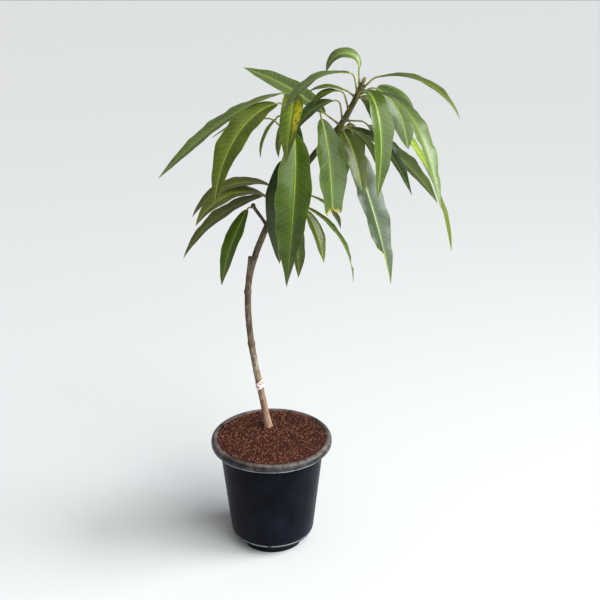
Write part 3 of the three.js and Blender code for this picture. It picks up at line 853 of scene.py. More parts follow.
# %% The blade's grid
BLADE_STEP = 1.7
LEAST_ROWS = 22
HALF_COLUMNS = 9
CENTRE = HALF_COLUMNS + 1
COLUMNS = 2 * CENTRE + 1
LEAST_HALF = {"base": 1.2, "elsewhere": 0.35}
RIB = {"tip": 0.3, "taper": 0.75, "most": 0.4}
RAGGED_TIP = {"points": 15, "depth": 0.018, "notch": 0.055}
RAGGED_TEAR = {"points": 60, "depth": 0.10}
MARGIN_WAVE = {"lengths": (38, 60), "depth": 0.05}
UNTORN = 0.999


def wandering(draw, rule, places, start):
    """A line that wanders at random from a start to 1, read at some places on it."""
    stray = draw.uniform(-rule["depth"], rule["depth"], rule["points"])
    return np.interp(places, np.linspace(start, 1, rule["points"]), stray)


def blade_grid(one, draw):
    """Shares along and across the blade, and the distance from the midrib, for each point."""
    rows = max(int(one.blade / BLADE_STEP), LEAST_ROWS)
    out = np.linspace(0, 1, HALF_COLUMNS + 1)
    way = np.concatenate([-np.ones(CENTRE), [0], np.ones(CENTRE)])
    reach = np.concatenate([out[::-1], [0], out])
    u, way = np.meshgrid(np.linspace(0, 1, rows + 1), way, indexing="ij")
    reach = np.broadcast_to(reach, u.shape)
    if one.blunt < 1:
        ragged = wandering(draw, RAGGED_TIP, reach[0] * way[0], -1)
        u = u * (one.blunt - RAGGED_TIP["notch"] * (1 - reach) ** 2 + ragged)
    torn = torn_share(one.tear, way, u)
    if one.tear is not None:
        rough = wandering(draw, RAGGED_TEAR, u[:, 0], 0)
        torn = np.clip(torn * (1 + (torn < UNTORN) * rough[:, None]), 0.1, 1)
    margin = np.ones_like(u)
    for side in (-1, 1):
        length, phase = draw.uniform(*MARGIN_WAVE["lengths"]), draw.uniform(0, 2 * np.pi)
        wave = np.sin(2 * np.pi * u * one.blade / length + phase)
        margin += (way == side) * MARGIN_WAVE["depth"] * wave
    least = np.where(u < 0.02, LEAST_HALF["base"], LEAST_HALF["elsewhere"])
    half = np.maximum(one.wide / 2 * blade_outline(u) * torn * margin, least)
    rib = np.minimum(RIB["tip"] + RIB["taper"] * (1 - u), RIB["most"] * half)
    x = way * np.where(way == 0, 0, rib + (half - rib) * reach)
    return u, way, reach, x, half, torn


print("columns across a blade:", COLUMNS)

# %% Height over the flat blade
VEIN_GAP = 8.2
VEIN_LEAN = 0.4
VEIN_CURL = 0.28
VEIN_STRAY = {"depth": 1.5, "length": 37}
DROOP = 0.10
RIPPLE = {"lengths": (40, 70), "depth": 0.05}
QUILT = 0.11
RIDGE = {"tip": 0.12, "taper": 0.45}


def blade_heights(one, draw, u, way, reach, x, half):
    """Height above the flat blade, and the count of side veins."""
    s = u * one.blade
    steep = VEIN_LEAN * np.abs(x) + VEIN_CURL * x ** 2 / np.maximum(half, 1)
    steep = steep + VEIN_STRAY["depth"] * np.sin(2 * np.pi * s / VEIN_STRAY["length"] + one.heading)
    vein = (s - steep) / VEIN_GAP + np.where(way < 0, 0.5, 0) + 0.5
    fold = np.abs(x) * math.sin(math.radians(one.fold))
    droop = -DROOP * draw.uniform(0.5, 1.5) * half * reach ** 3
    ends = np.sin(np.pi * np.clip(u, 0, 1)) ** 0.6
    wave = np.zeros_like(u)
    for side in (-1, 1):
        length, phase = draw.uniform(*RIPPLE["lengths"]), draw.uniform(0, 2 * np.pi)
        ripple = np.sin(2 * np.pi * s / length + phase)
        ripple += 0.4 * np.sin(4.7 * np.pi * s / length + 2 * phase)
        wave += (way == side) * ripple
    wave *= RIPPLE["depth"] * half * reach ** 2 * ends
    quilt = QUILT * np.abs(np.sin(np.pi * (vein - 0.5))) * fade(reach, 0, 0.25) * (1 - 0.6 * reach)
    ridge = np.where(way == 0, RIDGE["taper"] * (1 - u) + RIDGE["tip"], 0)
    return fold + droop + wave + quilt * fade(half, 3, 12) + ridge, vein


print("side veins on the longest leaf:", 2 * round(LONGEST.blade / VEIN_GAP))

# %% Points and painted values of a blade
THICKNESS = {"margin": 0.20, "more_inside": 0.25}
BROWN_TEAR = {"strength": 1.2, "reach": 1.6}
BROWN_TIP = {"strength": 1.25, "reach": 3.5}
YELLOW_PATCH = {"strength": 0.85, "width": 0.45}


def wilt_of(one, u, way, reach, half, torn):
    """How far each point has wilted: yellow at a half, brown from 1."""
    wilt = np.zeros_like(u)
    if one.tear is not None:
        inward = (1 - reach) * half
        wilt += (torn < UNTORN) * np.exp(-inward / BROWN_TEAR["reach"]) * BROWN_TEAR["strength"]
    if one.blunt < 1:
        back = (u[-1:, :] - u) * one.blade
        wilt += BROWN_TIP["strength"] * np.exp(-back / BROWN_TIP["reach"])
    if one.wilt is not None:
        where_u, where_way, size = one.wilt
        spread = (reach * way - where_way) / YELLOW_PATCH["width"]
        wilt += YELLOW_PATCH["strength"] * np.exp(-(((u - where_u) / size) ** 2 + spread ** 2))
    return wilt


def blade_points(one, lie, draw):
    u, way, reach, x, half, torn = blade_grid(one, draw)
    height, vein = blade_heights(one, draw, u, way, reach, x, half)
    centre, side, face = (read_course(table, u) for table in lie)
    lateral = x * math.cos(math.radians(one.fold))
    top = centre + side * lateral[..., None] + face * height[..., None]
    thick = THICKNESS["margin"] + THICKNESS["more_inside"] * (1 - reach)
    ridge = np.where(way == 0, height - height[:, [CENTRE - 1]], 0)
    under = top - face * (thick + ridge)[..., None]
    return top, under, dict(edge=reach, vein=vein, wilt=wilt_of(one, u, way, reach, half, torn))


print("a blade is", THICKNESS["margin"], "to", sum(THICKNESS.values()), "mm thick")

# %% Close the blade
SEAM_SPECK = 1e-4


def blade_index(rows):
    """Numbers of the points of the upper and the lower grid, which share their margins."""
    upper = np.arange(rows * COLUMNS).reshape(rows, COLUMNS)
    lower = upper.copy()
    lower[:, 1:-1] = rows * COLUMNS + np.arange(rows * (COLUMNS - 2)).reshape(rows, -1)
    return upper, lower


def blade_seam(upper, lower, end):
    """The short faces that join both grids at the base or the tip."""
    column = np.arange(COLUMNS - 1)
    corners = [upper[end, column], lower[end, column], lower[end, column + 1], upper[end, column + 1]]
    seam = np.stack(corners, -1)[:, ::1 if end == 0 else -1]
    return seam[[len(set(face)) == 4 for face in seam.tolist()]]


def add_blade(pile, one, lie, draw, cells):
    """Top, underside and the seams at base and tip, as one closed sheet."""
    top, under, values = blade_points(one, lie, draw)
    rows = len(top)
    upper, lower = blade_index(rows)
    points = np.concatenate([top.reshape(-1, 3), under[:, 1:-1].reshape(-1, 3)])
    painted = {key: np.concatenate([a.ravel(), a[:, 1:-1].ravel()]) for key, a in values.items()}
    grid = np.meshgrid(np.arange(rows - 1), np.arange(COLUMNS - 1), indexing="ij")
    row, column = (axis.ravel() for axis in grid)
    is_rib = (column == CENTRE - 1) | (column == CENTRE)
    faces, slots, sheet = [], [], []
    # A young leaf's underside takes the glow tone, which paints the light that comes through the thin
    # blade.
    shade = TONE_SLOT["glow"] if one.tone == "young" else UNDER_SLOT
    for index, order, slot, cell in (
            (upper, 1, TONE_SLOT[one.tone], cells[0]), (lower, -1, shade, cells[1])):
        corner = ((0, 0), (0, 1), (1, 1), (1, 0))[::order]
        faces.append(np.stack([index[row + r, column + c] for r, c in corner], -1))
        slots.append(np.where(is_rib, RIB_SLOT, slot))
        left, bottom, width, height = cell
        right = [left + width * ((column + c) / (COLUMNS - 1)) for _, c in corner]
        up = [bottom + height * ((row + r) / (rows - 1)) for r, _ in corner]
        sheet.append(np.stack([np.stack(right, 1), np.stack(up, 1)], -1))
    left, bottom, width, height = cells[0]
    for end in (0, rows - 1):
        seam = blade_seam(upper, lower, end)
        faces.append(seam)
        slots.append(np.full(len(seam), RIB_SLOT))
        spot = np.array([left + width / 2, bottom + (height if end else 0)])
        corner = np.array([(0, 0), (1, 0), (1, 1), (0, 1)])
        sheet.append(np.broadcast_to(spot + corner * SEAM_SPECK, (len(seam), 4, 2)))
    pile.add(points, np.concatenate(faces), np.concatenate(slots), np.concatenate(sheet), **painted)


print("faces across the base of a blade:", len(blade_seam(*blade_index(3), 0)))

# %% [markdown]
# ## The stalk
#
# The stalk is a round, yellowish tube with a swollen, browner joint where it meets the bark. It
# doesn't stop at the blade: it runs on under it as the midrib, getting finer all the way to the
# tip. So one tube makes both, half sunk in the underside along the blade.

# %% Stalk finish
def stalk_finish():
    stalk = Finish("leaf_stalk", Roughness=0.5, Coat_Weight=0.15, Coat_Roughness=0.35)
    streaks = stalk.noise(260, detail=3)
    green = stalk.mix(stalk.between(streaks, 0.35, 0.65), paint("#85893f"), paint("#a3a658"))
    brown = stalk.mix(stalk.between(streaks, 0.35, 0.65), paint("#5f4d2a"), paint("#8a7444"))
    stalk.feed("Base Color", stalk.mix(stalk.value("age"), green, brown))
    stalk.bump(streaks, 0.2, 0.2)
    return stalk.material


STALK = stalk_finish()
print("stalk:", len(STALK.node_tree.nodes), "nodes")

# %% Build one stalk
STALK_SIDES = 10
STALK_RINGS = 16
STALK_RADIUS = 1.25
STALK_SUNK = 1.6
JOINT = {"extra": 0.95, "reach": 3.2}
RIB_RINGS = 44
RIB_RADIUS = {"tip": 0.22, "taper": 0.85}


def add_stalk(pile, one, stalk, blade):
    share = np.linspace(0, 1, STALK_RINGS)
    points, side, face = (read_course(table, share) for table in stalk)
    away = share * one.stalk
    radii = STALK_RADIUS + JOINT["extra"] * np.exp(-away / JOINT["reach"])
    age = np.clip(1.15 * np.exp(-away / (0.25 * one.stalk + 2)), 0, 1)
    sunk = points[:1] - leaf_direction(one.rise, one.heading) * STALK_SUNK
    u = np.linspace(0, 0.985 * one.blunt, RIB_RINGS)[1:]
    rib, rib_side, rib_face = (read_course(table, u) for table in blade)
    rib_radii = RIB_RADIUS["tip"] + RIB_RADIUS["taper"] * (1 - u) ** 1.1
    sink = fade(u, 0, 0.04) * (0.25 + 0.35 * rib_radii)
    centres = np.vstack([sunk, points, rib - rib_face * sink[:, None]])
    across, out = np.vstack([side[:1], side, rib_side]), np.vstack([face[:1], face, rib_face])
    every = np.concatenate([radii[:1], radii, rib_radii])
    ages = np.concatenate([[1.0], age, np.zeros(len(u))])
    tube = swept_tube(centres, across, out, every, STALK_SIDES)
    pile.add(tube, grid_faces(len(centres), STALK_SIDES, closed=True)[:, ::-1],
             age=np.repeat(ages, STALK_SIDES))
    pile.cap_ends(len(centres), STALK_SIDES, first=1)


print("rings on a stalk and its midrib:", STALK_RINGS + RIB_RINGS)

# %% [markdown]
# ## Growing the masses
#
# Each mass of the frame becomes two pieces, its blades and its stalks, as the two have different
# finishes and would be picked apart by anyone who changes the colours later. The flat sheet that
# a pattern is baked on is shared out in equal cells, two for every leaf.

# %% Share out the flat sheet
CELL_SLIMNESS = 4.5
CELL_MARGIN = 0.004


def sheet_cells(count):
    """Equal cells of the unit square, each about as slim as a leaf, with a little space round it."""
    tall = max(1, round(math.sqrt(count / CELL_SLIMNESS)))
    wide = math.ceil(count / tall)
    size = (1 / wide - 2 * CELL_MARGIN, 1 / tall - 2 * CELL_MARGIN)
    return [((i % wide) / wide + CELL_MARGIN, (i // wide) / tall + CELL_MARGIN, *size)
            for i in range(count)]


print("cells for eight leaves:", len(sheet_cells(16)))

# %% Grow the leaves of every mass
def grow(mass, leaves, seed):
    blades, stalks = Pile(), Pile()
    cells = sheet_cells(2 * len(leaves))
    draw = np.random.default_rng(seed)
    for i, one in enumerate(leaves):
        stalk, blade = lay_out(one)
        add_blade(blades, one, blade, draw, cells[2 * i: 2 * i + 2])
        add_stalk(stalks, one, stalk, blade)
    slot = "leaf_young" if mass == "foliage_top" else "leaf_mature"
    settle(blades.build(mass + "_blades", LEAF_MATERIALS), slot, mass)
    settle(stalks.build(mass + "_stalks", [STALK], sharp=80), slot, mass)


for seed, (mass, leaves) in enumerate(MASSES.items(), start=31):
    grow(mass, leaves, seed)

# %% [markdown]
# ## Buds
#
# A mango shoot ends in a tight bud of narrow scales, brown at the tip, from which the next flush
# of leaves will come. They are small, but a stem without them looks sawn off.

# %% Terminal buds
BUD_SIDES = 8
BUD_RINGS = 9
BUD_SUNK = 2.0
SCALE_FLATNESS = 0.55


def bud_scales(limb, count, length, width):
    """Narrow scales that wind round the tip of a limb."""
    tip, along = on_limb(limb, LIMBS[limb]["axis"][-1][2])
    across, back = square_to(along)
    pile = Pile()
    draw = np.random.default_rng(count)
    share = np.linspace(0, 1, BUD_RINGS)
    for k in range(count):
        angle = math.radians(k * GOLDEN_ANGLE)
        out = across * math.cos(angle) + back * math.sin(angle)
        spread = 0.16 + 0.12 * k / count
        size = length * draw.uniform(0.75, 1.1)
        away = width * 0.6 + spread * size * np.sin(share * 1.6)
        bow = out * away[:, None] * (1 - 0.55 * share)[:, None]
        centres = tip - along * BUD_SUNK + along * (share * size)[:, None] + bow
        plump = np.sin(np.pi * np.clip(share * 0.93 + 0.07, 0, 1)) ** 0.7
        girth = width * plump * (1 - 0.35 * share)
        sideways = np.repeat(np.cross(along, out)[None], BUD_RINGS, 0)
        outward = np.repeat(out[None], BUD_RINGS, 0) * SCALE_FLATNESS
        tube = swept_tube(centres, sideways, outward, girth, BUD_SIDES)
        pile.add(tube, grid_faces(BUD_RINGS, BUD_SIDES, closed=True),
                 age=np.repeat(0.35 + 0.65 * share, BUD_SIDES))
    return pile


settle(bud_scales("leader", 7, 11, 1.7).build("leader_bud", [STALK]), "bark")
settle(bud_scales("leftBough", 6, 9, 1.5).build("left_bough_bud", [STALK]), "bark")

# %% [markdown]
# ## The grafting tape
#
# Film tape marks the place of the graft. It is pale pink, a little crinkled, wound once round
# with a lap, and marked with short red strokes. The strokes are faces of the band with a
# material of their own: at this size that is crisper than any painted pattern.

# %% Tape film and strokes
def tape_finish(name, code, roughness):
    tape = Finish(name, Roughness=roughness, Coat_Weight=0.3, Coat_Roughness=0.2)
    clouds = tape.noise(240, detail=3)
    base = paint(code)
    tape.feed("Base Color", tape.mix(tape.between(clouds, 0.3, 0.7), toned(base, 0.82), base))
    tape.bump(tape.noise(500, detail=2), 0.35, 0.3)
    return tape.material


TAPE = [tape_finish("tape_film", "#fff0ec", 0.4), tape_finish("tape_strokes", "#c93a30", 0.45)]
print("tape finishes:", ", ".join(material.name for material in TAPE))

# %% Tape round the trunk
TIE = {
    "height": 270, "width": 13, "slant": 25, "thick": 0.35, "clear": 0.75,
    "columns": 72, "rows": 14, "lap": 70, "lap_lift": 0.45, "crease": 0.16,
}


def tape_band():
    """Points of the outer and the inner face of the band."""
    turn = np.radians(np.linspace(-TIE["lap"], 360, TIE["columns"] + 1)) - np.pi / 3
    rise = np.linspace(-0.5, 0.5, TIE["rows"] + 1) * TIE["width"]
    radius = limb_radius("trunk", TIE["height"]) + TIE["clear"]
    lap = fade(np.linspace(0, 1, TIE["columns"] + 1), 0.72, 0.9) * TIE["lap_lift"]
    lift = math.tan(math.radians(TIE["slant"])) * radius * np.cos(turn)
    surfaces = []
    for offset in (TIE["thick"], 0):
        rows = []
        for r in rise:
            centre, along = on_limb("trunk", TIE["height"] + lift + r)
            across, back = square_to(along)
            crease = TIE["crease"] * np.sin(9 * turn + 0.9 * r) * math.cos(r)
            spread = (radius + offset + lap + crease)[:, None]
            ring = across * np.cos(turn)[:, None] + back * np.sin(turn)[:, None]
            rows.append(centre + ring * spread)
        surfaces.append(np.array(rows))
    return surfaces


def tape_piece():
    outer, inner = tape_band()
    rows, columns = outer.shape[:2]
    faces = grid_faces(rows, columns)
    row, column = faces[:, 0] // columns, faces[:, 0] % columns
    slanting = ((column + row) % 11 < 4) & (row > 2) & (row < 11)
    edging = (column % 7 < 5) & (row == 12)
    shift = rows * columns
    bottom, left = np.arange(columns), np.arange(rows) * columns
    top, right = shift - columns + bottom, left + columns - 1
    walls = []
    for line, order in ((bottom, 1), (top, -1), (left, -1), (right, 1)):
        strip = np.stack([line[:-1], line[:-1] + shift, line[1:] + shift, line[1:]], -1)
        walls.append(strip[:, ::order])
    walls = np.concatenate(walls)
    pile = Pile()
    pile.add(np.concatenate([outer, inner]), np.concatenate([faces, faces[:, ::-1] + shift, walls]),
             np.concatenate([slanting | edging, np.zeros(len(faces) + len(walls))]))
    return pile


settle(tape_piece().build("tape_band", TAPE), "tie_tape", "grafting_tie")

# %% [markdown]
# ## The pot's finish
#
# Cheap nursery plastic is nearly black with a cold cast. It is satin where the mould was smooth,
# scuffed pale where pots are dragged and stacked, and dusty wherever dust can lie: on the rolled
# rim most of all. The dust is a warm grey laid over the black by a value painted on the mesh and
# broken up by noise. Fine scratches run round the wall, and the two edges that take the knocks
# carry a pale line, partly wear and partly a painted highlight where the edge catches the light.
# The wall mirrors very little, and the rim, which hands polish, more, so one rule makes a finish
# for each.

# %% Pot plastic
# Heights of the pale lines on the skirt's lower edge and the rim's lower edge: wear, and a painted
# highlight where each edge catches the light.
WEAR_AND_HIGHLIGHT_EDGES = {"heights": (22.2, 180.5), "line": 0.5, "gone": 1.9}


def pot_finish(name, gloss):
    pot = Finish(name, Roughness=0.45, Specular_IOR_Level=gloss)
    clouds = pot.noise(22, detail=5, rough=0.6)
    black = pot.mix(pot.between(clouds, 0.3, 0.7), paint("#0a0c12"), paint("#161a26"))
    patches = pot.noise(75, detail=4, rough=0.65)
    grains = pot.noise(1300, detail=2, rough=0.7)
    dust = pot.value("dust")
    for pattern, strength in ((clouds, 0.9), (patches, 1.0), (grains, 0.7)):
        dust = pot.math("ADD", dust, pot.math("MULTIPLY", pot.math("SUBTRACT", pattern, 0.5), strength))
    veil = pot.between(dust, 0.3, 1.2)
    colour = pot.mix(veil, black, paint("#8a7a70"))
    specks = pot.node("TexVoronoi", {"Vector": pot.place(), "Scale": 210, "Randomness": 1.0})
    lone = pot.between(pot.noise(60, detail=1), 0.56, 0.64)
    speck = pot.math("MULTIPLY", pot.between(specks, 0.05, 0.13, 1.0, 0.0), lone)
    colour = pot.mix(pot.math("MULTIPLY", speck, 0.6), colour, paint("#8a8378"))
    scuffs = pot.noise(120, detail=5, rough=0.75, stretch=(0.5, 0.5, 3.2))
    worn_and_highlit = pot.math("MULTIPLY", pot.between(scuffs, 0.6, 0.72), pot.between(clouds, 0.48, 0.62))
    worn_and_highlit = pot.math("MULTIPLY", worn_and_highlit, 0.45)
    height = pot.node("SeparateXYZ", {"Vector": pot.node("TexCoord", {}, output="Object")}, output=2)
    # the pale lines at both edges: partly wear, partly a painted highlight
    for edge in WEAR_AND_HIGHLIGHT_EDGES["heights"]:
        off = pot.math("ABSOLUTE", pot.math("SUBTRACT", height, edge * MM))
        close = pot.between(off, WEAR_AND_HIGHLIGHT_EDGES["line"] * MM, WEAR_AND_HIGHLIGHT_EDGES["gone"] * MM, 1.0, 0.0)
        line = pot.math("MULTIPLY", close, pot.value("wear"))
        broken = pot.between(patches, 0.34, 0.5, 0.4, 1.0)
        worn_and_highlit = pot.math("ADD", worn_and_highlit, pot.math("MULTIPLY", line, broken))
    colour = pot.mix(pot.between(worn_and_highlit, 0.15, 0.95), colour, paint("#8d8d90"))
    pot.feed("Base Color", colour)
    pot.feed("Roughness", pot.between(pot.math("ADD", veil, worn_and_highlit), 0.0, 1.0, 0.34, 0.75))
    pot.bump(pot.math("ADD", grains, pot.math("MULTIPLY", scuffs, 0.7)), 0.18, 0.12)
    return pot.material


POT_PLASTIC = [pot_finish("pot_wall", 0.07), pot_finish("pot_rim", 0.45)]
print("pot finishes:", ", ".join(material.name for material in POT_PLASTIC))

# %% [markdown]
# ## The pot's shape
#
# A pot is turned: one outline carried round an axis. The outline below goes up the outside from
# the foot, over the rolled rim and down the inside to the floor. Its corners are rounded by a
# short curve, because a moulded edge that is truly sharp catches no light and looks like paper.
# The drain notches are then cut from the foot with a Boolean, the way the mould's pins leave them.

# %% The pot's outline
POT = {
    "height": 192, "rim_radius": 100, "rim_depth": 13, "lip_radius": 90, "neck_radius": 86.6,
    "skirt_radius": 70.3, "skirt_height": 22, "step_radius": 62.6, "step_height": 16.2,
    "foot_radius": 55.6, "wall": 2.4, "floor": 3,
}


def pot_profile():
    """The outline as radius, height, and the size of the rounding at that corner."""
    top = POT["height"]
    under = top - POT["rim_depth"]
    inside = POT["neck_radius"] - POT["wall"]
    skirt, step, foot = POT["skirt_radius"], POT["step_radius"], POT["foot_radius"]
    return [
        (foot, 0, 1.0),
        (step - 4, POT["step_height"] - 1, 1.5),
        (step, POT["step_height"], 0.8),
        (skirt - 1.5, POT["skirt_height"] - 4, 1.2),
        (skirt, POT["skirt_height"], 3.0),
        (POT["neck_radius"], under, 1.0),
        (POT["rim_radius"] - 3, under - 1, 1.4),
        (POT["rim_radius"], under + 2, 2.5),
        (POT["rim_radius"], top - 4, 3.0),
        (POT["rim_radius"] - 3, top - 0.8, 2.4),
        (POT["rim_radius"] - 6, top, 2.0),
        (POT["lip_radius"], top - 1.5, 1.6),
        (inside, under, 2.0),
        (skirt - POT["wall"], POT["skirt_height"] + 1.5, 1.0),
        (step - 1, POT["step_height"] + POT["wall"], 0.5),
        (foot - 1, POT["step_height"] + POT["wall"] - 1.5, 0.5),
        (foot - POT["wall"], POT["floor"], 0.6),
    ]


print("corners on the outline:", len(pot_profile()))

# %% Round the corners
CORNER_STEPS = 4
LONGEST_SPAN = 4


def rounded(profile):
    """The outline with each corner turned into a short quadratic curve."""
    corners = np.array([(r, z) for r, z, _ in profile])
    corners = np.vstack([(0, 0), corners, (0, POT["floor"])])
    smooth = []
    for i, (_, _, size) in enumerate(profile, start=1):
        before, corner, after = corners[i - 1: i + 2]
        reach = [min(size, 0.45 * math.dist(corner, other)) for other in (before, after)]
        start = corner + (before - corner) / math.dist(before, corner) * reach[0]
        end = corner + (after - corner) / math.dist(after, corner) * reach[1]
        for t in np.linspace(0, 1, CORNER_STEPS + 1):
            smooth.append((1 - t) ** 2 * start + 2 * t * (1 - t) * corner + t * t * end)
    return np.array(smooth)


def fill_long_spans(line, longest):
    """The same line with a point at least every so many millimetres."""
    filled = [line[0]]
    for before, after in zip(line[:-1], line[1:]):
        pieces = max(1, math.ceil(math.dist(before, after) / longest))
        filled += [before + (after - before) * k / pieces for k in range(1, pieces + 1)]
    return np.array(filled)


OUTLINE = fill_long_spans(rounded(pot_profile()), LONGEST_SPAN)
print("points on the rounded outline:", len(OUTLINE))

# %% Turn the pot
POT_SEGMENTS = 200
POT_SHARP = 40
DRAIN = {"count": 3, "first": -146, "width": 20, "height": 9, "depth": 12}
RIM_RIPPLES = ((0.5, 5, 1), (0.35, 13, 0), (0.2, 29, 2))
RIPPLE_DROP = 0.8
OUT_OF_ROUND = 0.0025
DUST = {"everywhere": 0.02, "rim": 0.42, "rim_top": 0.3, "ledge": 0.25}


def turned_points(line, segments):
    angles = np.linspace(0, 2 * np.pi, segments, endpoint=False)
    radius, height = line[:, :1], line[:, 1:]
    return np.stack([radius * np.cos(angles), radius * np.sin(angles), height + 0 * angles], -1)


def made_by_hand(points):
    """The turned points with a rim that ripples under its roll, and a pot slightly out of round."""
    points = points.copy()
    angles = np.arctan2(points[..., 1], points[..., 0])
    radius = np.hypot(points[..., 0], points[..., 1])
    band = fade(radius, POT["neck_radius"] + 1, POT["rim_radius"] - 3)
    low_edge = fade(POT["height"] - points[..., 2], 7, POT["rim_depth"]) * band
    ripple = sum(height * np.sin(count * angles + phase) for height, count, phase in RIM_RIPPLES)
    points[..., 2] -= low_edge * ripple * RIPPLE_DROP
    squash = 1 + OUT_OF_ROUND * np.cos(2 * angles + 0.7) * fade(points[..., 2], 60, 190)
    points[..., :2] *= np.minimum(squash, POT["rim_radius"] / np.maximum(radius, 1e-6))[..., None]
    return points


def dust_on(height, radius):
    """How much dust lies at each point: most on the rim, some on the ledge over the foot."""
    rim = fade(height, POT["height"] - 14, POT["height"] - 8) * fade(radius, 84, 90)
    rim_top = fade(height, POT["height"] - 3.5, POT["height"] - 0.8) * fade(radius, 88, 91)
    ledge = np.exp(-((height - POT["skirt_height"]) / 7) ** 2)
    return DUST["everywhere"] + DUST["rim"] * rim + DUST["rim_top"] * rim_top + ledge * DUST["ledge"]


def cut_notches(pot):
    """Drain notches through the foot, by a Boolean with small blocks that are then thrown away."""
    for i in range(DRAIN["count"]):
        angle = math.radians(DRAIN["first"] + 360 / DRAIN["count"] * i)
        bpy.ops.mesh.primitive_cube_add(size=1)
        block = bpy.context.object
        block.scale = [DRAIN[key] * MM for key in ("depth", "width")] + [2 * DRAIN["height"] * MM]
        reach = POT["foot_radius"] * MM
        block.location = (reach * math.cos(angle), reach * math.sin(angle), 0)
        block.rotation_euler.z = angle
        cut = pot.modifiers.new("notch", "BOOLEAN")
        cut.object = block
        cut.operation = "DIFFERENCE"
        cut.solver = "EXACT"
        bpy.context.view_layer.objects.active = pot
        bpy.ops.object.modifier_apply(modifier=cut.name)
        bpy.data.objects.remove(block)


def pot_piece():
    turned = turned_points(OUTLINE, POT_SEGMENTS)
    points = made_by_hand(turned)
    radius = np.hypot(turned[..., 0], turned[..., 1])
    in_rim = (OUTLINE[:-1, 1] > POT["height"] - POT["rim_depth"] - 1.5)
    in_rim = in_rim & (OUTLINE[:-1, 0] > POT["neck_radius"] - 1)
    pile = Pile()
    # the second painted value keeps the pale edge lines, wear with a painted highlight, to the outer
    # wall
    pile.add(points, grid_faces(len(OUTLINE), POT_SEGMENTS, closed=True),
             np.repeat(in_rim, POT_SEGMENTS),
             dust=dust_on(points[..., 2], radius), wear=fade(radius, 66, 68.5))
    pile.cap_ends(len(OUTLINE), POT_SEGMENTS)
    pot = pile.build("nursery_pot", POT_PLASTIC, sharp=POT_SHARP)
    cut_notches(pot)
    pot.data.set_sharp_from_angle(angle=math.radians(POT_SHARP))
    settle(pot, "pot_plastic", "pot")


pot_piece()

# %% [markdown]
# ## The peat
#
# The pot is filled with coco peat: dark red-brown crumbs from dust to pea size, with a few pale
# fibres of husk. A bumpy disc gives the ground. On it lie thousands of small faceted crumbs, each
# an icosahedron pulled out of shape, in one of three grainy tones, and the fibres are thin bent
# tubes. One noise texture on a flat disc would be quicker, but it has no shadows between grains.

# %% Peat finishes
def peat_finish(name, dark, light):
    peat = Finish(name, Roughness=0.92, Specular_IOR_Level=0.2)
    grain = peat.noise(700, detail=4, rough=0.7)
    peat.feed("Base Color", peat.mix(peat.between(grain, 0.3, 0.7), paint(dark), paint(light)))
    peat.bump(grain, 0.6, 0.4)
    return peat.material


PEAT = [
    peat_finish("peat_ground", "#301b16", "#513027"),
    peat_finish("peat_dark", "#38201a", "#5f382e"),
    peat_finish("peat_red", "#6e4235", "#935f4e"),
    peat_finish("peat_pale", "#6b4c40", "#876655"),
    peat_finish("peat_fibre", "#6d503d", "#9c7c5f"),
]


print("peat finishes:", ", ".join(material.name for material in PEAT))

# %% The ground
SOIL = {"level": 190.3, "settled": 0.4, "edge_radius": 90.2, "rings": 72, "segments": 230}
HEAP = {"height": 1.3, "reach": 15}
LUMPS = ((0.9, 0.045, 3), (0.55, 0.16, 4))
GRIT = {"height": 0.45, "scale": 0.5, "seed": 6}
WALL_DIP = 0.2


def soil_height(x, y):
    """The surface of the peat: nearly level, low at the wall, and heaped a little round the stem."""
    radius = np.hypot(x, y)
    stem_x, stem_y, _ = LIMBS["trunk"]["axis"][0]
    heap = HEAP["height"] * np.exp(-(np.hypot(x - stem_x, y - stem_y) / HEAP["reach"]) ** 2)
    places = np.stack([x, y, 0 * x], -1)
    lumps = sum(height * noise_at(places, scale, seed) for height, scale, seed in LUMPS)
    return SOIL["level"] - WALL_DIP * fade(radius, 78, 88) + heap + lumps - SOIL["settled"]


def soil_ground():
    rings, segments = SOIL["rings"], SOIL["segments"]
    radius = np.linspace(0.5, SOIL["edge_radius"] - 0.9, rings)
    angles = np.linspace(0, 2 * np.pi, segments, endpoint=False)
    x, y = radius[:, None] * np.cos(angles), radius[:, None] * np.sin(angles)
    z = soil_height(x, y)
    grit = GRIT["height"] * noise_at(np.stack([x, y, 0 * x], -1), GRIT["scale"], GRIT["seed"])
    skirt = np.stack([x[-1], y[-1], np.full(segments, SOIL["level"] - 12.0)], -1)[None]
    pile = Pile()
    pile.add(np.concatenate([np.stack([x, y, z + grit], -1), skirt]),
             grid_faces(rings + 1, segments, closed=True))
    pile.cap_ends(rings + 1, segments)
    return pile.build("peat_ground", PEAT)


settle(soil_ground(), "soil", "soil")

# %% The crumbs
CRUMBS = {"count": 9000, "small": 0.5, "large": 1.9, "shares": [0.55, 0.38, 0.07]}
DARK_SLOT, RED_SLOT, PALE_SLOT, FIBRE_SLOT = 1, 2, 3, 4


def icosahedron():
    """Twelve corners and twenty faces, from the golden ratio."""
    golden = (1 + math.sqrt(5)) / 2
    corners = [(0, a, b * golden) for a in (-1, 1) for b in (-1, 1)]
    corners += [(a, b * golden, 0) for a in (-1, 1) for b in (-1, 1)]
    corners += [(b * golden, 0, a) for a in (-1, 1) for b in (-1, 1)]
    corners = unit(np.array(corners, float))
    edge = np.linalg.norm(corners[:, None] - corners[None], axis=-1)
    close = edge < 1.2
    faces = []
    for i in range(12):
        for j in range(i + 1, 12):
            for k in range(j + 1, 12):
                if close[i, j] and close[j, k] and close[i, k]:
                    out = np.dot(np.cross(corners[j] - corners[i], corners[k] - corners[i]), corners[i])
                    faces.append((i, j, k) if out > 0 else (i, k, j))
    return corners, np.array(faces)


